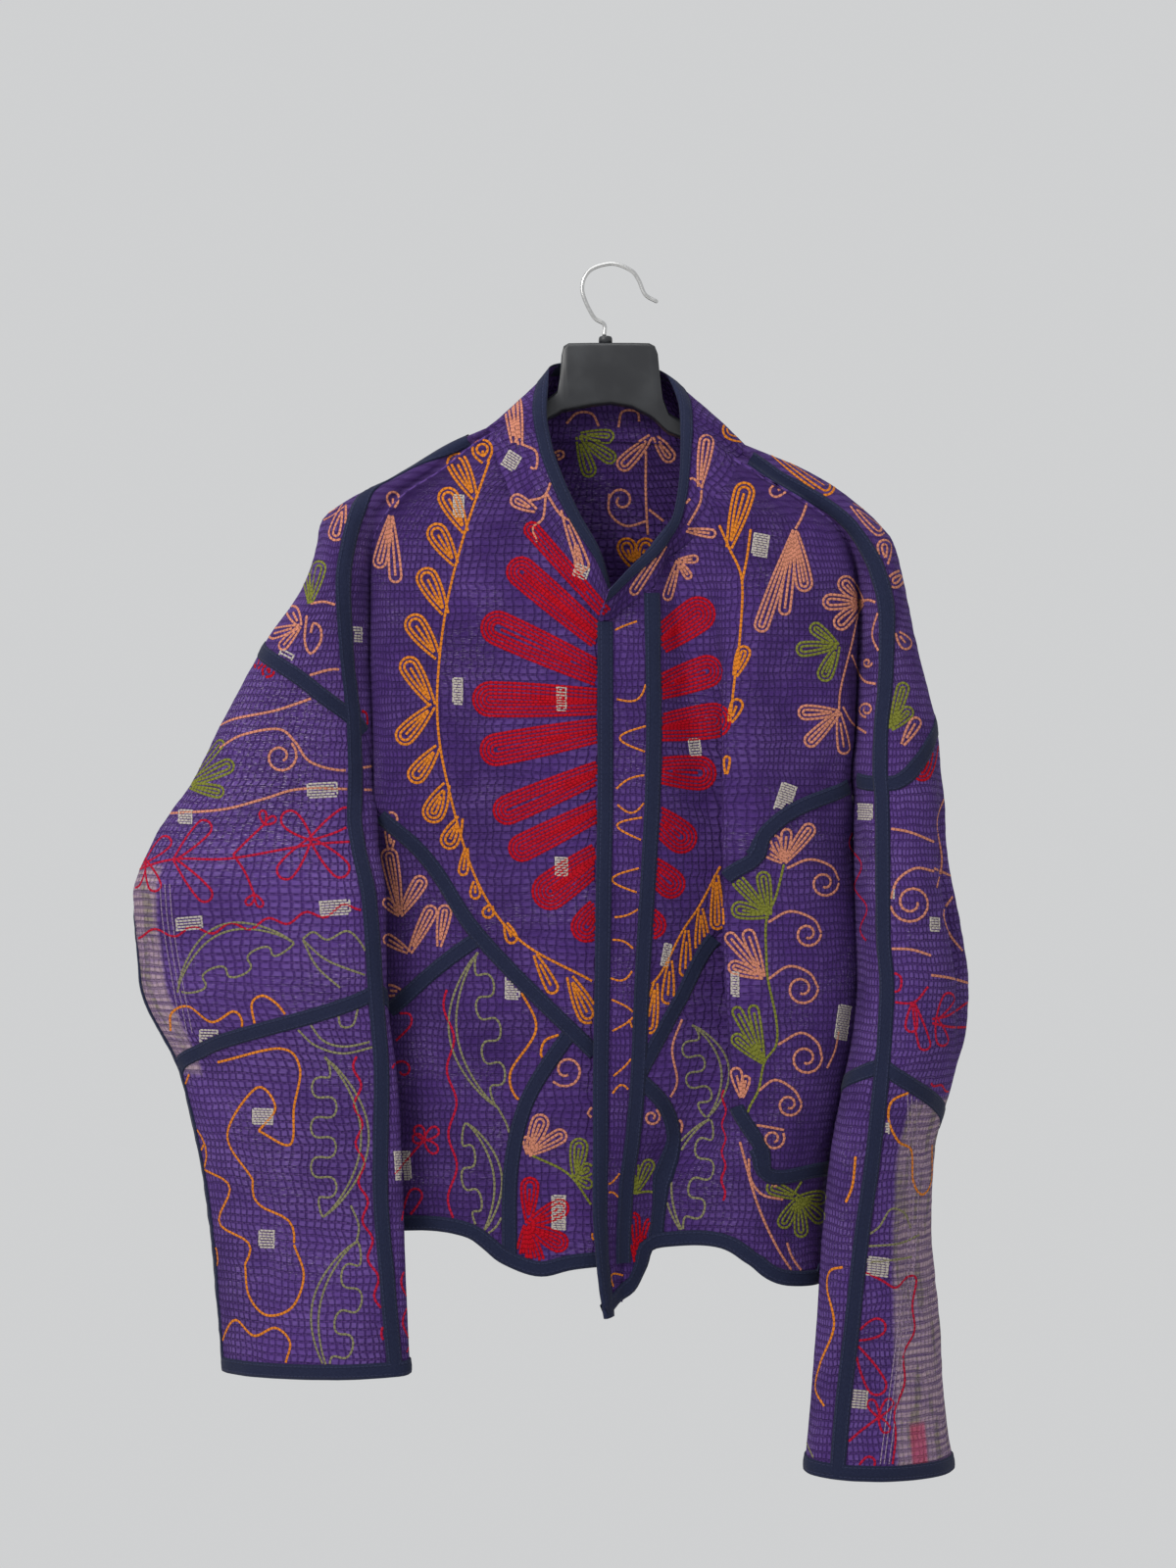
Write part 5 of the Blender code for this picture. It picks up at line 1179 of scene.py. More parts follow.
def addCollar(mat, navyMat):
    grid = collarGrid()
    cells, stations = [], []
    for here, there in zip(grid, grid[1:]):
        for j in range(len(here) - 1):
            cells.append([item[:2] for item in (here[j], here[j + 1], there[j + 1], there[j])])
    for column in grid:
        (below, _, belowUp), (edge, _, edgeUp) = column[-2:]
        stations.append((edge + (below - edge).normalized() * collar["binding"], edge, belowUp, edgeUp))
    return cellObject("collarCloth", cells, mat), addBinding("collarBinding", stations, navyMat)


# Hanger: plastic neck with an arm in each shoulder, boss and wire hook

hanger = {
    "neck": table(
        "x top bottom half",
        (-92, 124, 139, 7), (-78, 119, 133, 7), (-62, 110, 124, 7), (-48, 99, 114, 7), (-39, 92, 109.5, 7),
        (-37.2, 80, 108.2, 7), (-36.2, 66, 107.4, 7), (-34.6, 59.5, 107, 7), (-31, 57.3, 106.3, 7),
        (-15, 57, 103, 7), (0, 57, 101.5, 7), (15, 57, 104, 7), (28, 57.3, 110.8, 7), (32, 59.4, 113.8, 7),
        (34.2, 65, 116, 7), (35.6, 80, 117.4, 7), (37.6, 96, 119.4, 7), (42, 108, 123, 7), (52, 114, 127, 7),
        (66, 120, 133, 7), (82, 128, 141, 7)),
    "arms": {left: (-180, -170, -158, -144, -130, -116, -104), right: (104, 116, 130, 144, 158, 170, 180)},
    "armHalf": 6.0,
    "bar": 13.0,
    "fall": 0.05,
    "under": 4.6,
    "soft": 3.2,
    "bossX": -4.0,
    "boss": ((0.5, 51.6), (3.2, 51.7), (4.3, 52.0), (4.8, 52.8), (5.0, 54.0), (5.0, 57.2)),
    "wire": 3.0,
    "hook": ((-5, 51.6), (-5, 43), (-13, 37), (-21, 18), (-16, 4), (0, -1.5), (14, 3), (20, 10), (25, 21),
             (33, 26)),
    "tip": ((0.86, 0.5), (0.5, 1.0)),   # the wire's rounded end: width and reach, as shares of its own
    "armFall": 130.0,
}


@lru_cache(maxsize=None)
def ridgeDrop(x):
    rows, low, high = levels[left if x < 0 else right], 118.0, 200.0
    for _ in range(30):
        middle = (low + high) / 2
        low, high = (middle, high) if at(rows, "edge", middle) < abs(x) else (low, middle)
    return low


def armRow(x):
    top = ridgeDrop(x) + hanger["under"] + hanger["fall"] * max(0.0, abs(x) - hanger["armFall"])
    return x, top, top + hanger["bar"], hanger["armHalf"]


def hangerRing(x, top, bottom, half):  # a box round the bar with rounded corners
    y = at(levels[left if x < 0 else right], "armY", (top + bottom) / 2)
    soft = min(hanger["soft"], (bottom - top) / 2.2)
    ring = []
    for k, (across, edge) in enumerate(((half, bottom), (half, top), (-half, top), (-half, bottom))):
        centre = (across - math.copysign(soft, across), edge - soft if edge == bottom else edge + soft)
        for i in range(5):
            angle = math.radians(90 * k - 90 + 22.5 * i)
            ring.append(Vector((x, y + centre[0] + soft * math.cos(angle),
                                -(centre[1] - soft * math.sin(angle)))))
    return ring


def circle(count):
    return [2 * math.pi * i / count for i in range(count)]


def tubeRing(centre, along, radius):
    side = Vector((along[1], 0, along[0]))
    return [centre + side * (radius * math.cos(t)) + Vector((0, radius * math.sin(t), 0)) for t in circle(20)]


def bossRing(radius, drop):
    return [Vector((hanger["bossX"] + radius * math.cos(t), radius * math.sin(t), -drop)) for t in circle(28)]


def capped(name, rings, mat):
    size = len(rings[0])
    faces = [(k * size + i, k * size + (i + 1) % size, (k + 1) * size + (i + 1) % size, (k + 1) * size + i)
             for k in range(len(rings) - 1) for i in range(size)]
    faces += [tuple(range(size))[::-1], tuple((len(rings) - 1) * size + i for i in range(size))]
    return addMesh(name, [p for ring in rings for p in ring], faces, mat)


def hookRings():
    path = spline(hanger["hook"], 1.6)
    rings = [tubeRing(Vector((point[0], 0, -point[1])), heading(path, i).normalized(), hanger["wire"] / 2)
             for i, point in enumerate(path)]
    end, before = rings[-1], rings[-2]
    centre = sum(end, Vector()) / len(end)
    out = (centre - sum(before, Vector()) / len(before)).normalized() * (hanger["wire"] / 2)
    for shrink, ahead in hanger["tip"]:
        rings.append([centre + (p - centre) * shrink + out * ahead for p in end])
    return rings


def addHanger(plastic, steel):
    neck = list(zip(*(hanger["neck"][name] for name in ("x", "top", "bottom", "half"))))
    rows = [armRow(x) for x in hanger["arms"][left]] + neck + [armRow(x) for x in hanger["arms"][right]]
    return (capped("hangerBody", [hangerRing(*row) for row in rows], plastic),
            capped("hangerNeckBoss", [bossRing(*row) for row in hanger["boss"]], plastic),
            capped("hookWire", hookRings(), steel))


# Each piece rides on the one body and stands for its solids.


def declare(obj, nodes, strip=None):  # strip: its length, not used
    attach(obj, "root")
    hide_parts(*nodes)


def tapeLength(obj, section):  # along the middle of a strip or binding
    count = len(section)
    spots = [v.co for v in obj.data.vertices][count // 2::count]
    return sum((b - a).length for a, b in zip(spots, spots[1:]))


violet, violetCollar = kanthaCloth("violetCotton"), kanthaCloth("violetCollar")
navyStrip, navyEdge = navyCotton("navyStrip", 5.5), navyCotton("navyEdge", 5.0)

shells = {}
for name, cells in gatherPanels().items():
    shells[name] = cellObject(name + "Cloth", cells, violet)
    declare(shells[name], [name])
print("panels made", len(shells))


def between(name, low, high, axis=0):  # the places of a seam between two values across or down
    return [p for p in seams[name] if low < p[axis] < high]


def aboveHem(name, hem):
    return [p for p in seams[name] if p[1] < seamDrop(hem, p[0]) - trim["hemGap"]]


# name of the solid, line, and whether it passes under another strip
stripWays = [(name, line, bodyPoint, under) for name, line, under in (
    ("strip_left_diagonal", between("leftDiagonal", -leftEdge, trim["leftFrom"]), False),
    ("strip_left_branch", between("leftBranch", -math.inf, trim["leftFrom"]), True),
    ("strip_left_corner", aboveHem("leftCorner", "leftHem"), True),
    ("strip_placket", between("placket", *trim["placketStrip"], axis=1), False),
    ("strip_right_diagonal_side", between("rightDiagonal", trim["rightFrom"], trim["fold"][0]), False),
    ("strip_right_diagonal", between("rightDiagonal", trim["fold"][1], math.inf), True),
    ("strip_right_branch", between("rightBranch", trim["rightFrom"], trim["fold"][0]), False),
    ("strip_right_corner", aboveHem("rightCorner", "rightHem"), True))]
for side, word in sides:
    arm, place = arms[side], zonePoint(word + "Arm")
    underFrom = pattern["underarm"][side] + trim["underStart"]
    stripWays += [
        (word + "_strip_top", arm["top"], place, False),
        (word + "_strip_hole_back", arm["hole"][trim["holeEnds"]], place, True),
        (word + "_strip_under", [p for p in arm["under"] if p[1] > underFrom], place, False),
        (word + "_strip_elbow_back", arm["elbowBack"], place, True),
        (word + "_strip_elbow_front", arm["elbowFront"], place, True)]
trims = []
for name, line, place, under in stripWays:
    strip = addStrip(name + "Tape", line, place, navyStrip, trim["under"] if under else 0.0)
    trims.append(strip)
    nodes = [name] + (["right_strip_hole_front"] if name == "right_strip_hole_back" else [])
    declare(strip, nodes, tapeLength(strip, trim["strip"]))
print("strips made")


def declareEdge(obj, node):
    trims.append(obj)
    declare(obj, [node], tapeLength(obj, trim["binding"]))


# name of the solid, line, and the way to the cloth's middle
edges = (
    ("hem_left", seams["leftHem"], bodyPoint, (0, -1)),
    ("hem_back", seams["backHem"], bodyPoint, (0, -1)),
    ("hem_right", between("rightHem", -math.inf, rightEdge - trim["hemEnd"]), bodyPoint, (0, -1)),
    ("placket_binding", between("placketEdge", trim["placketBinding"], math.inf, axis=1), bodyPoint, (-1, 0)),
    ("left_cuff_binding", arms[left]["cuff"], zonePoint("leftArm"), (0, -1)),
    ("right_cuff_binding", arms[right]["cuff"], zonePoint("rightArm"), (0, -1)),
)
for name, line, place, inward in edges:
    declareEdge(addBinding(name + "Tape", edgeStations(line, place, inward), navyEdge), name)
collarPiece, collarTape = addCollar(violetCollar, navyEdge)
declare(collarPiece, ["collar"])
declareEdge(collarTape, "collar_binding")
print("bindings and collar made")

parts = zip(addHanger(hangerPlastic(), hookSteel()), ("hanger", "hanger_boss", "hook"),
            ("dark_plastic", "dark_plastic", "steel_wire"))
for piece, node, slot in parts:
    trims.append(piece)
    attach(piece, "root")
    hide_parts(node)
print("hanger made")


# The picture that the front is laid out on

view = {
    "distance": 1800.0,
    "aim": (-16.8, -45.0, -379.4),
    "scale": 0.7,            # millimetres for one pixel of the picture, at the aim
    "origin": (624, 258),    # the pixel that shows the part's origin
    "height": 1600,
}


# Embroidery: rows of chain stitch. Front motifs are laid out on the picture, in its pixels, and fall on
# the cloth along the camera's lines. The same motifs are laid by the cut on the sides that don't show.

stitch = {
    "spacing": 1.5,
    "closest": 0.75,         # share of the spacing below which a place is left out
    "probe": 1.1,            # a row is looked up on the cloth at this step
    "jump": 7.0,             # a row stops where the cloth steps back further than this
    "foot": 0.05,            # the thread's edge over the cloth
    "lift": (0.315, 0.525),  # its middle over the cloth, at every other place
    "swell": (0.80, 1.0),    # its width at every other place
    "gap": {"crimson": 3.75, "orange": 4.3, "salmon": 4.3, "olive": 4.1},  # between a leaf's rows
    "leafWide": {"crimson": 2.3, "orange": 2.25, "salmon": 2.1, "olive": 2.1},
    "rowWide": {"rose": 1.9, "orange": 2.1, "salmon": 2.1, "olive": 2.0, "khaki": 1.7, "lilac": 0.9,
                "cream": 1.35},
    "placketWide": 1.5,
    "room": 0.45,            # a leaf takes one more row while this share of a gap is left,
    "veinRoom": -0.25,       # and a middle row down to this share
    "petalFoot": 0.72,       # a petal's foot, as a share of its width
    "leafFoot": 0.25,
    "flowerFoot": 0.15,
    "vein": 0.55,            # a leaf's middle row ends this share of its width before the tip
}


motif = {
    "bowStep": 3.0,
    "curl": 0.72,            # a spiral ends this share of its radius further in
    "paisleyGap": 8.0,       # between a paisley's two bowed rows
    "paisleyRound": 0.8,
    "wavyBelly": 0.25,       # the wavy row follows this share of the bow,
    "wavyFall": 10.0,        # lies this far to its other side,
    "wavyLean": 0.10,        # and leans over by this share of a wave
    "markStep": 2.3,         # between the rows of a woven mark
    "markSway": 1.2,
    "markFall": 0.6,
}


def beside(a, b):
    return Vector((a[1] - b[1], b[0] - a[0])).normalized()


def reach(cx, cy, radius, degrees, tall=1.0):
    turn = math.radians(degrees)
    return Vector((cx + radius * math.cos(turn), cy + radius * tall * math.sin(turn)))


def leafLoop(base, tip, foot, head, inset):  # one row of stitches round a petal, drawn in by inset
    base, tip = Vector(base), Vector(tip)
    axis, side = (tip - base).normalized(), beside(base, tip)
    low, high = max(foot / 2 - inset, 0.2), head / 2 - inset
    start = base + axis * (inset * 1.6 if foot < head * 0.6 else 0.0)
    centre = tip - axis * (head / 2)
    if (centre - start).dot(axis) < 0:
        return []
    quarter = [math.pi * t / 12 for t in range(7)]
    line = [start.lerp(centre, t / 6) + side * (low + (high - low) * math.sin(quarter[t])) for t in range(6)]
    for i in range(11):
        turn = math.pi * i / 10
        line.append(centre + side * (high * math.cos(turn)) + axis * (high * math.sin(turn)))
    return line + [centre.lerp(start, t / 6) - side * (high + (low - high) * (1 - math.cos(quarter[t])))
                   for t in range(1, 7)]


def leaf(colour, base, tip, width, foot):  # rows one inside the other, and a middle row where it fits
    gap, lines, inset = stitch["gap"][colour], [], 0.0
    while width / 2 - inset > stitch["room"] * gap:
        lines.append(leafLoop(base, tip, width * foot, width, inset))
        inset += gap
    lines = [line for line in lines if line]
    if width / 2 - inset > stitch["veinRoom"] * gap and lines:
        a, b = Vector(base), Vector(tip)
        lines.append([a.lerp(b, 0.25), b - (b - a).normalized() * (width * stitch["vein"])])
    return lines


def bow(*places):  # a smooth row through a few places
    return [spline(places, motif["bowStep"])]


def spiral(cx, cy, radius, start, turns, way=1):
    count = max(8, int(14 * turns))
    shares = [i / count for i in range(count + 1)]
    return [[reach(cx, cy, radius * (1 - motif["curl"] * t), start + way * t * turns * 360) for t in shares]]


def ripple(ax, ay, bx, by, swing, waves, lean=0.0):  # a wavy row
    a, b = Vector((ax, ay)), Vector((bx, by))
    side, count, line = beside(a, b), int(waves * 10), []
    for t in [i / count for i in range(count + 1)]:
        off = swing * math.sin(2 * math.pi * waves * t) + lean * math.sin(math.pi * t)
        line.append(a.lerp(b, t) + side * off)
    return [line]


def paisley(ax, ay, bx, by, belly, waves=3.5, swing=9.0):  # two bowed rows, closed by a wavy one
    a, b = Vector((ax, ay)), Vector((bx, by))
    side, way, count, wavy = beside(a, b), math.copysign(1.0, belly), int(waves * 20), []
    power = motif["paisleyRound"]
    bowed = [[a.lerp(b, t / 20) + side * (full * math.sin(math.pi * t / 20) ** power) for t in range(21)]
             for full in (belly, belly + motif["paisleyGap"] * way)]
    for t in [i / count for i in range(count + 1)]:
        full, turn = math.sin(math.pi * t), 2 * math.pi * waves * t
        curve = belly * motif["wavyBelly"] * full ** power - way * motif["wavyFall"] * full
        off = curve + swing * math.sin(turn) * min(1.0, 6 * t, 6 * (1 - t))
        wavy.append(b.lerp(a, t - motif["wavyLean"] / waves * math.sin(2 * turn)) + side * off)
    return bowed + [wavy]


def arch(ax, ay, bx, by, belly):
    a, b = Vector((ax, ay)), Vector((bx, by))
    return [[a.lerp(b, t / 12) + beside(a, b) * (belly * math.sin(math.pi * t / 12)) for t in range(13)]]


def flower(cx, cy, petals, width):  # outlined petals round a middle: direction and length
    foot = width * stitch["flowerFoot"]
    return [leafLoop((cx, cy), reach(cx, cy, length, turn), foot, width, 0.0) for turn, length in petals]


# The picture's medallion: crimson petals (base x y, tip x y, width) round the closing of the fronts

petals = (
    (618, 626, 538, 535, 15), (612, 652, 521, 574, 29), (612, 688, 493, 634, 33), (612, 716, 483, 713, 34),
    (612, 745, 491, 768, 31), (612, 787, 505, 832, 28), (612, 826, 521, 871, 26), (612, 873, 547, 920, 36),
    (612, 926, 590, 958, 30), (672, 655, 726, 617, 34), (672, 702, 736, 680, 31), (672, 743, 745, 733, 34),
    (672, 786, 730, 790, 33), (668, 833, 707, 864, 31), (664, 884, 695, 911, 28), (658, 932, 673, 955, 26),
)

# Rows, leaves and sprigs of the front, in the picture's pixels. A sprig is a base, then the tip and
# width of each leaf.

sprigs = {
    "orange": (
        (648, 580, (636, 550, 18)), (650, 580, (662, 550, 18)),
        (495, 472, (490, 449, 20)), (485, 509, (462, 464, 20)), (475, 543, (453, 499, 20)),
        (465, 576, (441, 536, 20)), (455, 627, (431, 581, 21)), (447, 671, (418, 629, 21)),
        (442, 720, (413, 672, 20), (407, 757, 19)), (447, 762, (420, 797, 18)), (456, 800, (438, 838, 22)),
        (470, 834, (455, 865, 18)), (476, 865, (472, 893, 9)), (485, 899, (485, 917, 10)),
        (501, 924, (496, 936, 11)), (516, 942, (524, 962, 11)), (546, 974, (566, 1013, 12)),
        (581, 996, (604, 1043, 20)), (731, 893, (732, 948, 13)), (715, 927, (717, 972, 14)),
        (701, 949, (699, 996, 11)), (684, 980, (681, 1024, 12)), (669, 1003, (662, 1054, 14)),
        (744, 559, (762, 493, 20)), (750, 690, (761, 660, 13)), (745, 737, (754, 714, 12)),
        (741, 790, (742, 772, 6)), (782, 457, (850, 501, 18)), (765, 449, (739, 434, 19)),
    ),
    "salmon": (
        (664, 446, (632, 478, 15)), (668, 446, (686, 470, 13)), (524, 452, (521, 400, 14)),
        (574, 520, (597, 582, 12)),
        (399, 526, (386, 579, 13), (404, 594, 12)), (401, 518, (401, 502, 12)),
        (351, 515, (341, 551, 15), (322, 527, 13)), (306, 639, (296, 619, 12), (274, 648, 10), (286, 662, 9)),
        (811, 541, (775, 644, 14), (800, 627, 11), (822, 603, 16)), (806, 496, (786, 503, 12)),
        (880, 615, (858, 590, 16), (840, 614, 15), (853, 640, 15)),
        (856, 727, (815, 727, 14), (823, 760, 13), (862, 769, 12)),
        (869, 515, (902, 544, 14)), (904, 576, (902, 551, 14)), (926, 582, (908, 597, 14)),
        (915, 645, (928, 661, 12)), (921, 760, (937, 733, 11)),
        (800, 880, (829, 842, 13), (803, 846, 10), (789, 853, 9), (774, 864, 10)),
        (779, 997, (742, 953, 11), (762, 949, 12), (744, 985, 13)),
        (757, 1120, (750, 1090, 11), (762, 1098, 8)),
        (539, 1178, (554, 1138, 17), (577, 1156, 14), (537, 1160, 7)), (675, 1211, (678, 1183, 9)),
        (398, 868, (399, 829, 13)), (408, 934, (396, 866, 16), (432, 895, 14), (392, 918, 9)),
        (418, 972, (442, 925, 13), (392, 956, 10)), (448, 966, (455, 924, 13)), (410, 1012, (392, 1010, 11)),
        (531, 454, (523, 400, 14)), (547, 521, (522, 508, 13)), (588, 556, (592, 586, 8)),
        (714, 497, (722, 444, 14)), (688, 541, (645, 606, 9)),
        (692, 572, (680, 612, 9), (712, 570, 7), (704, 590, 7)),
        (700, 541, (730, 545, 8)), (560, 469, (575, 462, 8)),
    ),
    "olive": (
        (590, 446, (603, 486, 14)), (592, 446, (627, 470, 13)), (592, 444, (626, 446, 12)),
        (316, 616, (327, 573, 14), (312, 584, 7)), (190, 801, (227, 756, 8), (238, 779, 14), (228, 809, 12)),
        (855, 659, (828, 638, 12), (813, 663, 14), (839, 694, 15)),
        (785, 934, (750, 896, 12), (778, 890, 13), (747, 927, 16)),
        (779, 1084, (750, 1028, 10), (768, 1026, 10), (748, 1057, 12)),
        (587, 1202, (592, 1162, 17), (604, 1190, 12), (604, 1210, 9)),
        (648, 1218, (664, 1184, 12), (648, 1187, 7)),
        (909, 744, (923, 697, 12), (930, 723, 12)),
        (815, 1222, (783, 1210, 13), (797, 1252, 13), (818, 1262, 13), (840, 1246, 14), (843, 1222, 13)),
    ),
    "crimson": (
        (270, 690, (277, 680, 12)), (262, 682, (266, 668, 10)), (373, 745, (369, 726, 9)),
        (539, 1246, (541, 1202, 17)),
        (537, 1250, (579, 1229, 18), (578, 1272, 19), (549, 1292, 15), (533, 1290, 14)),
        (650, 1292, (646, 1238, 12), (666, 1244, 12), (657, 1262, 16)), (955, 760, (936, 795, 20)),
    ),
}

# smooth rows through a few places each
bows = {
    "orange": (
        ((499, 471), (473, 548), (454, 628), (446, 720), (456, 797), (486, 897), (530, 959), (604, 1001)),
        ((735, 884), (714, 924), (696, 951), (675, 992), (661, 1008)),
        ((734, 536), (744, 559), (757, 592), (755, 650), (750, 690), (745, 737)),
        ((766, 540), (762, 570), (757, 594)),
        ((174, 1052), (175, 1034), (192, 1027), (216, 1043), (238, 1032), (247, 1042), (244, 1058)),
        ((260, 1046), (257, 1024), (268, 1016), (282, 1024), (291, 1035)),
        ((222, 1084), (286, 1070), (306, 1090), (300, 1130), (296, 1168), (264, 1154)),
        ((264, 1154), (281, 1130), (262, 1110), (232, 1158), (258, 1204)),
        ((300, 1270), (310, 1302), (298, 1334), (272, 1342), (254, 1322), (250, 1290)),
        ((222, 1390), (230, 1360), (241, 1347), (259, 1363), (281, 1355), (296, 1370), (291, 1395),
         (296, 1418)),
        ((249, 1413), (254, 1396), (267, 1392), (274, 1413)),
        ((531, 1010), (547, 1050), (521, 1094), (527, 1120), (541, 1121)),
        ((570, 1056), (556, 1062), (552, 1076), (558, 1084)),
        ((930, 1114), (910, 1124), (907, 1144), (917, 1165), (930, 1174), (932, 1206), (941, 1219),
         (950, 1206), (951, 1168)),
        ((873, 1180), (870, 1209), (863, 1227)),
        ((860, 1293), (847, 1297), (844, 1315), (851, 1353), (837, 1391), (832, 1417), (841, 1435)),
        ((895, 1191), (894, 1209)),
    ),
    "salmon": (
        ((825, 508), (819, 526), (811, 541)), ((898, 616), (880, 615), (869, 658), (858, 702), (856, 727)),
        ((869, 668), (880, 693), (894, 698)), ((860, 721), (870, 738), (884, 748)),
        ((897, 621), (890, 648), (899, 669)), ((342, 617), (330, 614), (317, 616)),
        ((313, 628), (311, 654), (317, 667), (327, 655), (327, 641), (320, 636), (317, 646)),
        ((316, 689), (340, 683), (364, 686)), ((215, 746), (238, 734), (281, 725), (320, 712)),
        ((224, 763), (247, 750), (284, 744), (301, 757), (316, 777), (347, 786), (379, 782)),
        ((171, 830), (227, 826), (270, 815), (308, 805), (379, 806)),
        ((604, 1130), (600, 1136), (606, 1142)), ((696, 1040), (686, 1070), (691, 1103), (683, 1122)),
        ((688, 1140), (696, 1147), (692, 1166)), ((803, 886), (826, 877), (848, 884), (856, 898)),
        ((784, 941), (806, 930), (830, 938), (838, 952)), ((784, 999), (805, 986), (826, 993), (835, 1008)),
        ((794, 1066), (817, 1054), (834, 1064), (839, 1080)),
        ((774, 1113), (791, 1102), (810, 1112), (818, 1126)), ((761, 1147), (778, 1149), (800, 1153)),
        ((766, 1194), (778, 1197), (790, 1203), (793, 1210), (787, 1210)),
        ((764, 1182), (766, 1203), (778, 1219), (799, 1224)),
        ((755, 1165), (772, 1226), (793, 1273), (816, 1308)), ((803, 1268), (809, 1284), (825, 1306)),
        ((856, 1052), (852, 1072), (844, 1090)), ((905, 845), (928, 849), (953, 859)),
        ((953, 889), (934, 886), (916, 898), (909, 917)), ((907, 968), (930, 969), (950, 975)),
        ((953, 886), (971, 894)), ((972, 915), (963, 931), (969, 953), (982, 970)),
        ((950, 995), (970, 998), (991, 1004)), ((964, 813), (956, 839), (961, 877), (956, 906)),
        ((532, 453), (547, 461), (547, 478), (540, 476)), ((567, 472), (557, 504), (540, 511)),
        ((557, 504), (554, 529), (544, 538), (548, 553)), ((558, 504), (574, 527), (598, 536)),
        ((717, 498), (706, 488), (697, 500), (698, 514), (704, 509)), ((716, 500), (714, 514), (702, 536)),
        ((578, 433), (589, 422), (604, 423), (611, 436)), ((631, 437), (635, 421), (650, 421), (652, 431)),
        ((659, 460), (659, 508), (661, 547)), ((659, 532), (639, 537), (622, 524), (621, 504)),
        ((662, 520), (677, 532)),
    ),
    "rose": (
        ((133, 890), (176, 877), (235, 876), (317, 862), (377, 858)), ((238, 872), (254, 856), (270, 841)),
        ((238, 872), (250, 890), (260, 914)), ((404, 1062), (419, 1046), (418, 1035), (408, 1034)),
        ((403, 1198), (418, 1180), (433, 1163)), ((908, 991), (919, 997), (918, 1010), (907, 1013)),
        ((907, 1022), (932, 1023), (947, 1007)), ((951, 1040), (968, 1036), (991, 1020)),
        ((951, 1044), (970, 1048), (989, 1048)),
        ((878, 1296), (899, 1306), (914, 1314), (926, 1303), (935, 1305), (931, 1332), (933, 1358),
         (922, 1382), (923, 1411), (913, 1441), (914, 1467), (910, 1500)),
        ((872, 1367), (869, 1408), (857, 1455)), ((856, 1480), (876, 1462), (897, 1446)),
    ),
    "khaki": (
        ((309, 959), (323, 986), (347, 1008)), ((309, 959), (334, 980), (378, 997)),
        ((309, 958), (320, 951), (334, 959), (354, 950), (368, 962), (378, 982)),
        ((304, 1051), (322, 1067), (350, 1075), (383, 1068)),
        ((317, 1046), (330, 1062), (352, 1068), (383, 1062)), ((358, 1230), (366, 1250), (364, 1267)),
        ((345, 1032), (348, 1047), (360, 1046), (365, 1030)), ((508, 1130), (518, 1150), (521, 1170)),
        ((514, 1238), (506, 1252), (496, 1260)),
        ((883, 1262), (897, 1252), (909, 1234), (923, 1238), (929, 1253)),
        ((882, 1272), (917, 1269), (938, 1260)), ((888, 1288), (917, 1285), (932, 1282)),
        ((820, 1426), (822, 1467), (834, 1496)),
    ),
    "olive": (
        ((543, 1179), (580, 1198), (603, 1229)), ((645, 1218), (664, 1216), (672, 1224), (674, 1238)),
        ((800, 882), (792, 914), (782, 940), (782, 975), (784, 1001), (792, 1040), (792, 1066),
         (780, 1084), (774, 1112), (764, 1132), (760, 1154)),
        ((824, 1196), (814, 1212), (806, 1224)),
    ),
    "lilac": (
        ((163, 902), (166, 940), (174, 990), (186, 1058)),
        ((168, 902), (171, 940), (179, 990), (191, 1056)),
        ((173, 902), (176, 940), (184, 990), (196, 1054)),
        ((926, 1109), (928, 1226), (923, 1300), (914, 1373), (897, 1503)),
        ((930, 1109), (932, 1226), (927, 1300), (918, 1373), (901, 1503)),
        ((935, 1109), (937, 1226), (932, 1300), (923, 1373), (906, 1503)),
    ),
}
# middle, radius, first direction in degrees, turns and way round
spirals = {
    "salmon": (
        (885, 676, 5, 0, 1.2), (884, 724, 8, 90, 1.4), (286, 772, 18, -50, 1.3),
        (578, 1092, 18, 140, 1.2, -1), (665, 1140, 9, -60, 1.3), (841, 901, 15, 0, 1.3),
        (824, 953, 14, 0, 1.3), (818, 1009, 17, 0, 1.3), (822, 1080, 17, 0, 1.3), (805, 1127, 13, 0, 1.3),
        (789, 1162, 12, -30, 1.3), (930, 921, 22, 175, 1.5, -1), (634, 511, 13, 190, 1.1),
    ),
    "rose": (
        (411, 1092, 11, 190, 0.9),
    ),
}
# wavy rows: both ends, swing, waves and lean
ripples = {
    "rose": (
        (129, 954, 379, 922, 4.5, 6.5, 6.0), (364, 1078, 395, 1372, 4.0, 7.5, 8.0),
        (456, 1010, 461, 1246, 4.5, 3.6, -3.0), (412, 1298, 415, 1380, 3.0, 2.0),
        (739, 1112, 738, 1225, 2.0, 4.0), (950, 1105, 976, 1116, 2.0, 2.0), (870, 850, 884, 960, 5.0, 2.5),
    ),
    "orange": (
        (258, 1204, 300, 1270, 9.0, 1.0), (250, 1290, 208, 1168, 11.0, 2.0),
        (193, 1096, 222, 1362, 9.0, 2.5),
    ),
}
# both ends, belly, waves and swing
paisleys = {
    "khaki": (
        (181, 1013, 300, 962, -38, 2.6, 9.0), (331, 1079, 330, 1242, -38, 4.0, 13.0),
        (364, 1267, 340, 1408, 26, 3.0, 12.0), (488, 972, 508, 1130, 32, 3.5, 11.0),
        (476, 1146, 492, 1258, -20, 2.5, 8.0), (722, 1140, 706, 1046, 22, 3.0, 11.0),
        (724, 1142, 700, 1262, 26, 3.0, 11.0),
    ),
}
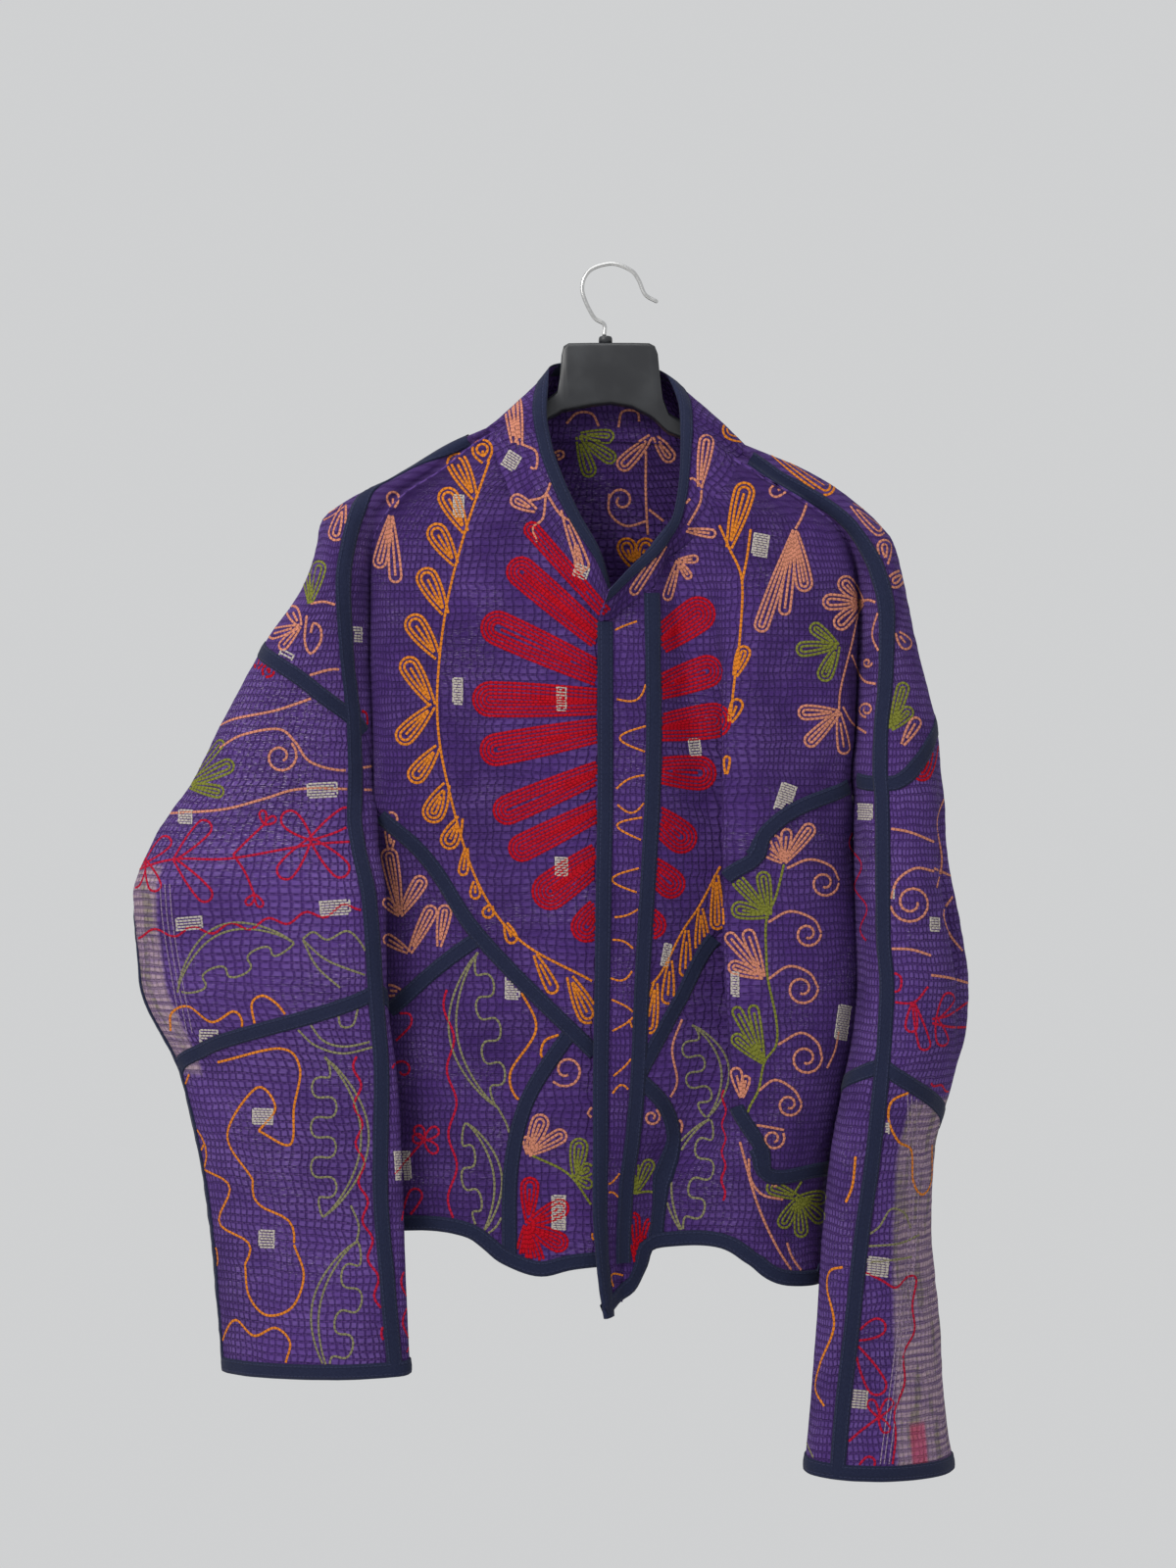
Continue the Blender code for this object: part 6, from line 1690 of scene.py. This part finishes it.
# open loops down the placket: both ends, and how far the row bows out
placketLoops = (
    (650, 634, 628, 688, 22), (660, 694, 628, 713, -12), (659, 741, 658, 767, 26), (659, 791, 628, 806, 4),
    (630, 821, 658, 818, 10), (657, 834, 654, 857, 26), (652, 886, 651, 911, 27), (627, 936, 651, 928, 2),
    (625, 959, 646, 968, -3), (623, 998, 645, 991, 6), (624, 1020, 625, 1052, -22),
    (642, 1040, 626, 1098, -14), (625, 1116, 644, 1116, -9), (616, 1190, 634, 1195, 16),
    (615, 1222, 632, 1223, -6), (620, 1274, 616, 1246, -14), (632, 1250, 634, 1276, 3),
    (626, 1313, 637, 1302, -10),
)
# middle, direction and length of each petal, and their width
flowers = (
    (149, 879, ((-45, 34), (165, 24), (70, 32), (120, 30), (-150, 22)), 13),
    (178, 877, ((-47, 52), (49, 55)), 16), (317, 856, ((-137, 38), (-32, 52), (128, 50), (45, 52)), 19),
    (270, 841, ((-100, 14), (-30, 13)), 7), (260, 913, ((60, 14), (130, 13)), 7),
    (433, 1163, ((-120, 16), (-40, 18), (45, 18), (190, 12)), 10), (411, 1246, ((-64, 36),), 14),
    (871, 1367, ((-28, 36),), 18), (873, 1373, ((62, 56),), 20),
    (897, 1446, ((-120, 20), (-55, 22), (60, 18)), 9), (873, 1504, ((-40, 24),), 12),
    (932, 1023, ((75, 50), (95, 30)), 12), (956, 1040, ((75, 28), (-60, 30)), 12),
)
# woven cream marks: middle, width, height and tilt
marks = (
    (522, 470, 14, 16, 30), (593, 583, 14, 12, 20), (467, 705, 9, 26, 0), (573, 713, 9, 24, 0),
    (573, 884, 12, 18, 0), (329, 806, 30, 14, -4), (342, 926, 30, 14, -5), (193, 942, 26, 12, -6),
    (189, 833, 13, 13, 0), (213, 1058, 18, 14, 0), (268, 1139, 20, 15, 0), (272, 1264, 15, 17, 0),
    (271, 1404, 28, 15, 5), (523, 1004, 14, 30, 0), (411, 1189, 15, 28, -4), (570, 1237, 13, 34, 0),
    (776, 556, 15, 22, 8), (709, 762, 11, 17, -8), (801, 815, 15, 30, 18), (750, 1004, 7, 24, 0),
    (860, 1043, 12, 34, 8), (883, 828, 14, 15, 0), (908, 912, 8, 14, 0), (954, 943, 9, 13, 0),
    (893, 1292, 26, 18, 5), (872, 1427, 25, 17, 4), (903, 1149, 8, 16, 0), (364, 647, 10, 14, 0),
    (292, 669, 14, 8, 25), (468, 516, 10, 22, 0), (680, 974, 7, 22, 10),
)


# Laying rows on the cloth

def clothTree():
    spots, faces, isCloth = [], [], []
    for obj in [*shells.values(), collarPiece, *trims]:
        start = len(spots)
        spots += [v.co / mm for v in obj.data.vertices]
        faces += [tuple(start + i for i in face.vertices) for face in obj.data.polygons]
        isCloth += [obj not in trims] * len(obj.data.polygons)
    return BVHTree.FromPolygons(spots, faces), isCloth


tree, isCloth = clothTree()
eye = Vector(view["aim"]) - Vector((0, view["distance"], 0))


def onPicture(px, py):  # the cloth that a pixel of the picture shows, and the way it faces
    x, drop = [(value - zero) * view["scale"] for value, zero in zip((px, py), view["origin"])]
    ray = (Vector((x, view["aim"][1], -drop)) - eye).normalized()
    spot, normal, index, _ = tree.ray_cast(eye, ray)
    if spot is None or not isCloth[index]:
        return None
    if normal.dot(ray) > 0:
        return spot - normal * cloth["wall"], -normal
    return spot, normal


def layRow(line, surface):  # runs of places along the cloth, evenly spaced
    probes = []
    for a, b in zip(line, line[1:]):
        count = max(1, round((b - a).length * view["scale"] / stitch["probe"]))
        probes += [a.lerp(b, i / count) for i in range(count)]
    runs, run = [], []
    for p in [*probes, line[-1]]:
        found = surface(p[0], p[1])
        step = (found[0] - run[-1][0]).length if found and run else None
        if found is None or (step is not None and step > stitch["jump"]):
            runs.append(run)
            run, step = [], None
        if found and (step is None or step >= stitch["spacing"] * stitch["closest"]):
            run.append(found)
    return [run for run in [*runs, run] if len(run) > 2]


class Work:  # all the rows of one thread, gathered into one mesh
    def __init__(self, colour):
        self.colour, self.spots, self.faces, self.uvs = colour, [], [], []

    def sew(self, run, wide):
        places, first, half = [spot for spot, _ in run], len(self.spots), wide / 2
        for i, (spot, normal) in enumerate(run):
            side = normal.cross(heading(places, i)).normalized() * (half * stitch["swell"][i % 2])
            foot = normal * stitch["foot"]
            self.spots += [spot - side + foot, spot + normal * stitch["lift"][i % 2], spot + side + foot]
        lengths = lengthsAlong(places)
        for i, (here, there) in enumerate(zip(lengths, lengths[1:])):
            for k in (0, 1):
                a, s, e = first + 3 * i + k, (k - 1) * half, k * half
                self.faces.append((a, a + 1, a + 4, a + 3))
                self.uvs += [here, s, here, e, there, e, there, s]

    def build(self):
        name = self.colour + "Thread"
        mat = threadMaterial(name, threads[self.colour])
        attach(addMesh(name, self.spots, self.faces, mat, self.uvs, "thread"), "root")


work = {colour: Work(colour) for colour in threads}


def sew(colour, lines, surface, wide=None):
    for line in lines:
        for run in layRow([Vector(p) for p in line], surface):
            work[colour].sew(run, wide or stitch["rowWide"][colour])


def sewLeaf(colour, base, tip, width, surface, foot=stitch["leafFoot"]):
    sew(colour, leaf(colour, base, tip, width, foot), surface, stitch["leafWide"][colour])


def markRows(cx, cy, width, height, tilt):  # a small woven block: rows across it, and its two long sides
    turn, halfHeight = math.radians(tilt), height / 2
    across, down = Vector((math.cos(turn), math.sin(turn))), Vector((-math.sin(turn), math.cos(turn)))
    count, lines = max(3, round(height / motif["markStep"])), []
    for i in range(count):
        y, sway = (i / (count - 1) - 0.5) * height, motif["markSway"] * math.sin(cx * 3.1 + i * 2.3)
        lines.append(((sway - width / 2, y), (sway + width / 2, y + motif["markFall"])))
    lines += [((x, -halfHeight), (x, halfHeight)) for x in (-width / 2, width / 2)]
    return [[Vector((cx, cy)) + across * x + down * y for x, y in line] for line in lines]


def sewFront():
    for bx, by, tx, ty, width in petals:
        sewLeaf("crimson", (bx, by), (tx, ty), width, onPicture, stitch["petalFoot"])
    for colour, bases in sprigs.items():
        for bx, by, *leaves in bases:
            for tx, ty, width in leaves:
                sewLeaf(colour, (bx, by), (tx, ty), width, onPicture)
    for kind, groups in ((bow, bows), (spiral, spirals), (ripple, ripples), (paisley, paisleys)):
        for colour, all in groups.items():
            for values in all:
                sew(colour, kind(*values), onPicture)
    for values in placketLoops:
        sew("orange", arch(*values), onPicture, stitch["placketWide"])
    for values in flowers:
        sew("rose", flower(*values), onPicture)
    for mark in marks:
        sew("cream", markRows(*mark), onPicture)


# The hidden sides carry the same kinds of motif, laid by the cut in the same unit as the picture:
# sprigs (colour, base, tips) and rows, each laid to one side or mirrored to both, and cream marks.

backMotifs = {
    "leaf": 15,
    "mark": (14, 26, 0),
    "marks": ((-140, 430), (150, 700), (-230, 930), (10, 930), (90, 240)),
    "hem": (-262, 985, 262, 985, 6.0, 14.0),
    "sprigs": (
        ("salmon", (190, 330), ((230, 282), (196, 272), (156, 290))),
        ("olive", (228, 400), ((242, 356), (262, 384))),
        ("salmon", (236, 700), ((256, 746), (224, 752))),
        ("olive", (200, 786), ((230, 826), (196, 836))),
    ),
    "rows": (
        ("olive", bow, ((190, 330), (226, 400), (246, 520), (240, 640), (236, 700), (200, 786))),
        ("salmon", spiral, (120, 300, 20, 0, 1.4)),
        ("khaki", paisley, (210, 860, 70, 905, 30, 4.0, 9.0)),
        ("salmon", spiral, (40, 838, 16, 90, 1.3)),
    ),
}
sleeveMotifs = {
    "leaf": 14,
    "mark": (26, 14, 0),
    "marks": ((440, 640), (380, 800), (430, 1080), (350, 640)),
    "sprigs": (
        ("salmon", (330, 470), ((372, 436), (384, 470), (366, 500))),
        ("olive", (420, 560), ((452, 522), (470, 556))),
        ("orange", (480, 452), ((512, 424), (520, 456), (506, 486))),
    ),
    "rows": (
        ("salmon", bow, ((330, 470), (360, 530), (420, 560), (470, 620), (520, 640))),
        ("salmon", spiral, (372, 590, 20, 0, 1.4)),
        ("rose", ripple, (320, 690, 540, 676, 5.0, 6.0)),
        ("khaki", paisley, (345, 760, 470, 745, 26, 3.0, 9.0)),
        ("orange", bow, ((340, 850), (392, 838), (412, 880), (376, 916), (398, 962), (446, 950), (462, 1000),
                         (420, 1040), (372, 1030))),
        ("khaki", paisley, (500, 850, 492, 1010, -24, 4.0, 10.0)),
        ("rose", ripple, (322, 850, 330, 1090, 4.0, 6.0)),
    ),
}
# the back's medallion: petals, a ring round them and leaves outside the ring
medallion = {
    "middle": (0, 560),
    "tall": 1.18,
    "petals": range(0, 360, 24),
    "petal": (46, 140, 27, 0.6),        # reach of its foot and tip, width, the foot's share of it
    "ring": 176,
    "leaves": range(0, 360, 15),
    "leaf": (178, 222, 7, 17),          # reach of its foot and tip, lean in degrees, width
}


def onCut(zone):
    place = zonePoint(zone)
    return lambda u, drop: onCloth(place, u * view["scale"], drop * view["scale"])


def mirrored(kind, values, way):
    if kind is bow:
        return [(way * x, y) for x, y in values]
    if kind is spiral:
        return (way * values[0], *values[1:], way)
    ax, ay, bx, by, first, *rest = values
    return way * ax, ay, way * bx, by, (way * first if kind is paisley else first), *rest


def sewMotifs(motifs, way, surface):
    for colour, (bx, by), tips in motifs["sprigs"]:
        for tx, ty in tips:
            sewLeaf(colour, (way * bx, by), (way * tx, ty), motifs["leaf"], surface)
    for colour, kind, values in motifs["rows"]:
        sew(colour, kind(*mirrored(kind, values, way)), surface)


def sewMarks(motifs, way, surface):
    for cx, cy in motifs["marks"]:
        sew("cream", markRows(way * cx, cy, *motifs["mark"]), surface)


def sewMedallion(surface):
    def spot(radius, turn):
        return reach(*medallion["middle"], radius, turn, medallion["tall"])

    foot, tip, width, share = medallion["petal"]
    for turn in medallion["petals"]:
        sewLeaf("crimson", spot(foot, turn), spot(tip, turn), width, surface, share)
    sew("orange", bow(*[spot(medallion["ring"], turn) for turn in range(0, 361, 20)]), surface)
    foot, tip, lean, width = medallion["leaf"]
    for turn in medallion["leaves"]:
        sewLeaf("orange", spot(foot, turn), spot(tip, turn + lean), width, surface)


def sewBack():
    back = onCut("back")
    sewMedallion(back)
    for way in (-1, 1):
        sewMotifs(backMotifs, way, back)
    sew("rose", ripple(*backMotifs["hem"]), back)
    sewMarks(backMotifs, 1, back)


def sewSleeve(zone, way):
    sewMotifs(sleeveMotifs, way, onCut(zone))
    sewMarks(sleeveMotifs, way, onCut(zone))


sewFront()
sewBack()
sewSleeve("leftArm", -1)
sewSleeve("rightArm", 1)
for each in work.values():
    each.build()
    print("thread", each.colour, len(each.faces) * 2)


# Floor, light and camera

stage = {
    "floor": -1250.0,
    "half": 4200.0,          # the floor's half width, and its reach to the front
    "back": 900.0,
    "colour": (0.80, 0.80, 0.79),
    "world": (0.98, 0.99, 1.0),
    "strength": 0.64,
    "lights": {              # place, aim, size, power and colour
        "key": ((-1500, -1700, 900), (0, 0, -400), (1000, 1000), 38.0, (1.0, 0.985, 0.96)),
        "fill": ((1700, -1500, 100), (0, 0, -450), (1500, 1500), 2.0, (0.94, 0.97, 1.0)),
        "top": ((-300, -500, 1500), (0, 0, -400), (1600, 1000), 14.0, (1.0, 1.0, 1.0)),
    },
}


def addFloor():
    half, back, height = stage["half"], stage["back"], stage["floor"]
    spots = [Vector((x, y, height)) for x, y in ((-half, -half), (half, -half), (half, back), (-half, back))]
    pale = Nodes("paleFloor").finish(Base_Color=(*stage["colour"], 1.0), Roughness=0.95,
                                     Specular_IOR_Level=0.1)
    addMesh("floor", spots, [(0, 1, 2, 3)], pale)


def addLight(name, where, aim, size, power, colour):
    light = bpy.data.lights.new(name, "AREA")
    light.shape, light.size, light.size_y = "RECTANGLE", size[0] * mm, size[1] * mm
    light.energy, light.color = power, colour
    obj = addObject(name, light, where)
    obj.rotation_euler = (Vector(aim) - Vector(where)).to_track_quat("-Z", "Y").to_euler()


def addCamera():
    camera = bpy.data.cameras.new("camera")
    camera.sensor_fit, camera.sensor_height, camera.sensor_width = "VERTICAL", 36.0, 27.0
    camera.lens = camera.sensor_height * view["distance"] / (view["scale"] * view["height"])
    obj = addObject("camera", camera, eye)
    obj.rotation_euler = (math.pi / 2, 0, 0)
    bpy.context.scene.camera = obj


addFloor()
addCamera()
for name, values in stage["lights"].items():
    addLight(name, *values)
world = bpy.data.worlds.new("world")
world.use_nodes = True
background = world.node_tree.nodes["Background"].inputs
background["Color"].default_value = (*stage["world"], 1.0)
background["Strength"].default_value = stage["strength"]
bpy.context.scene.world = world
bpy.context.scene.view_settings.view_transform = "Standard"
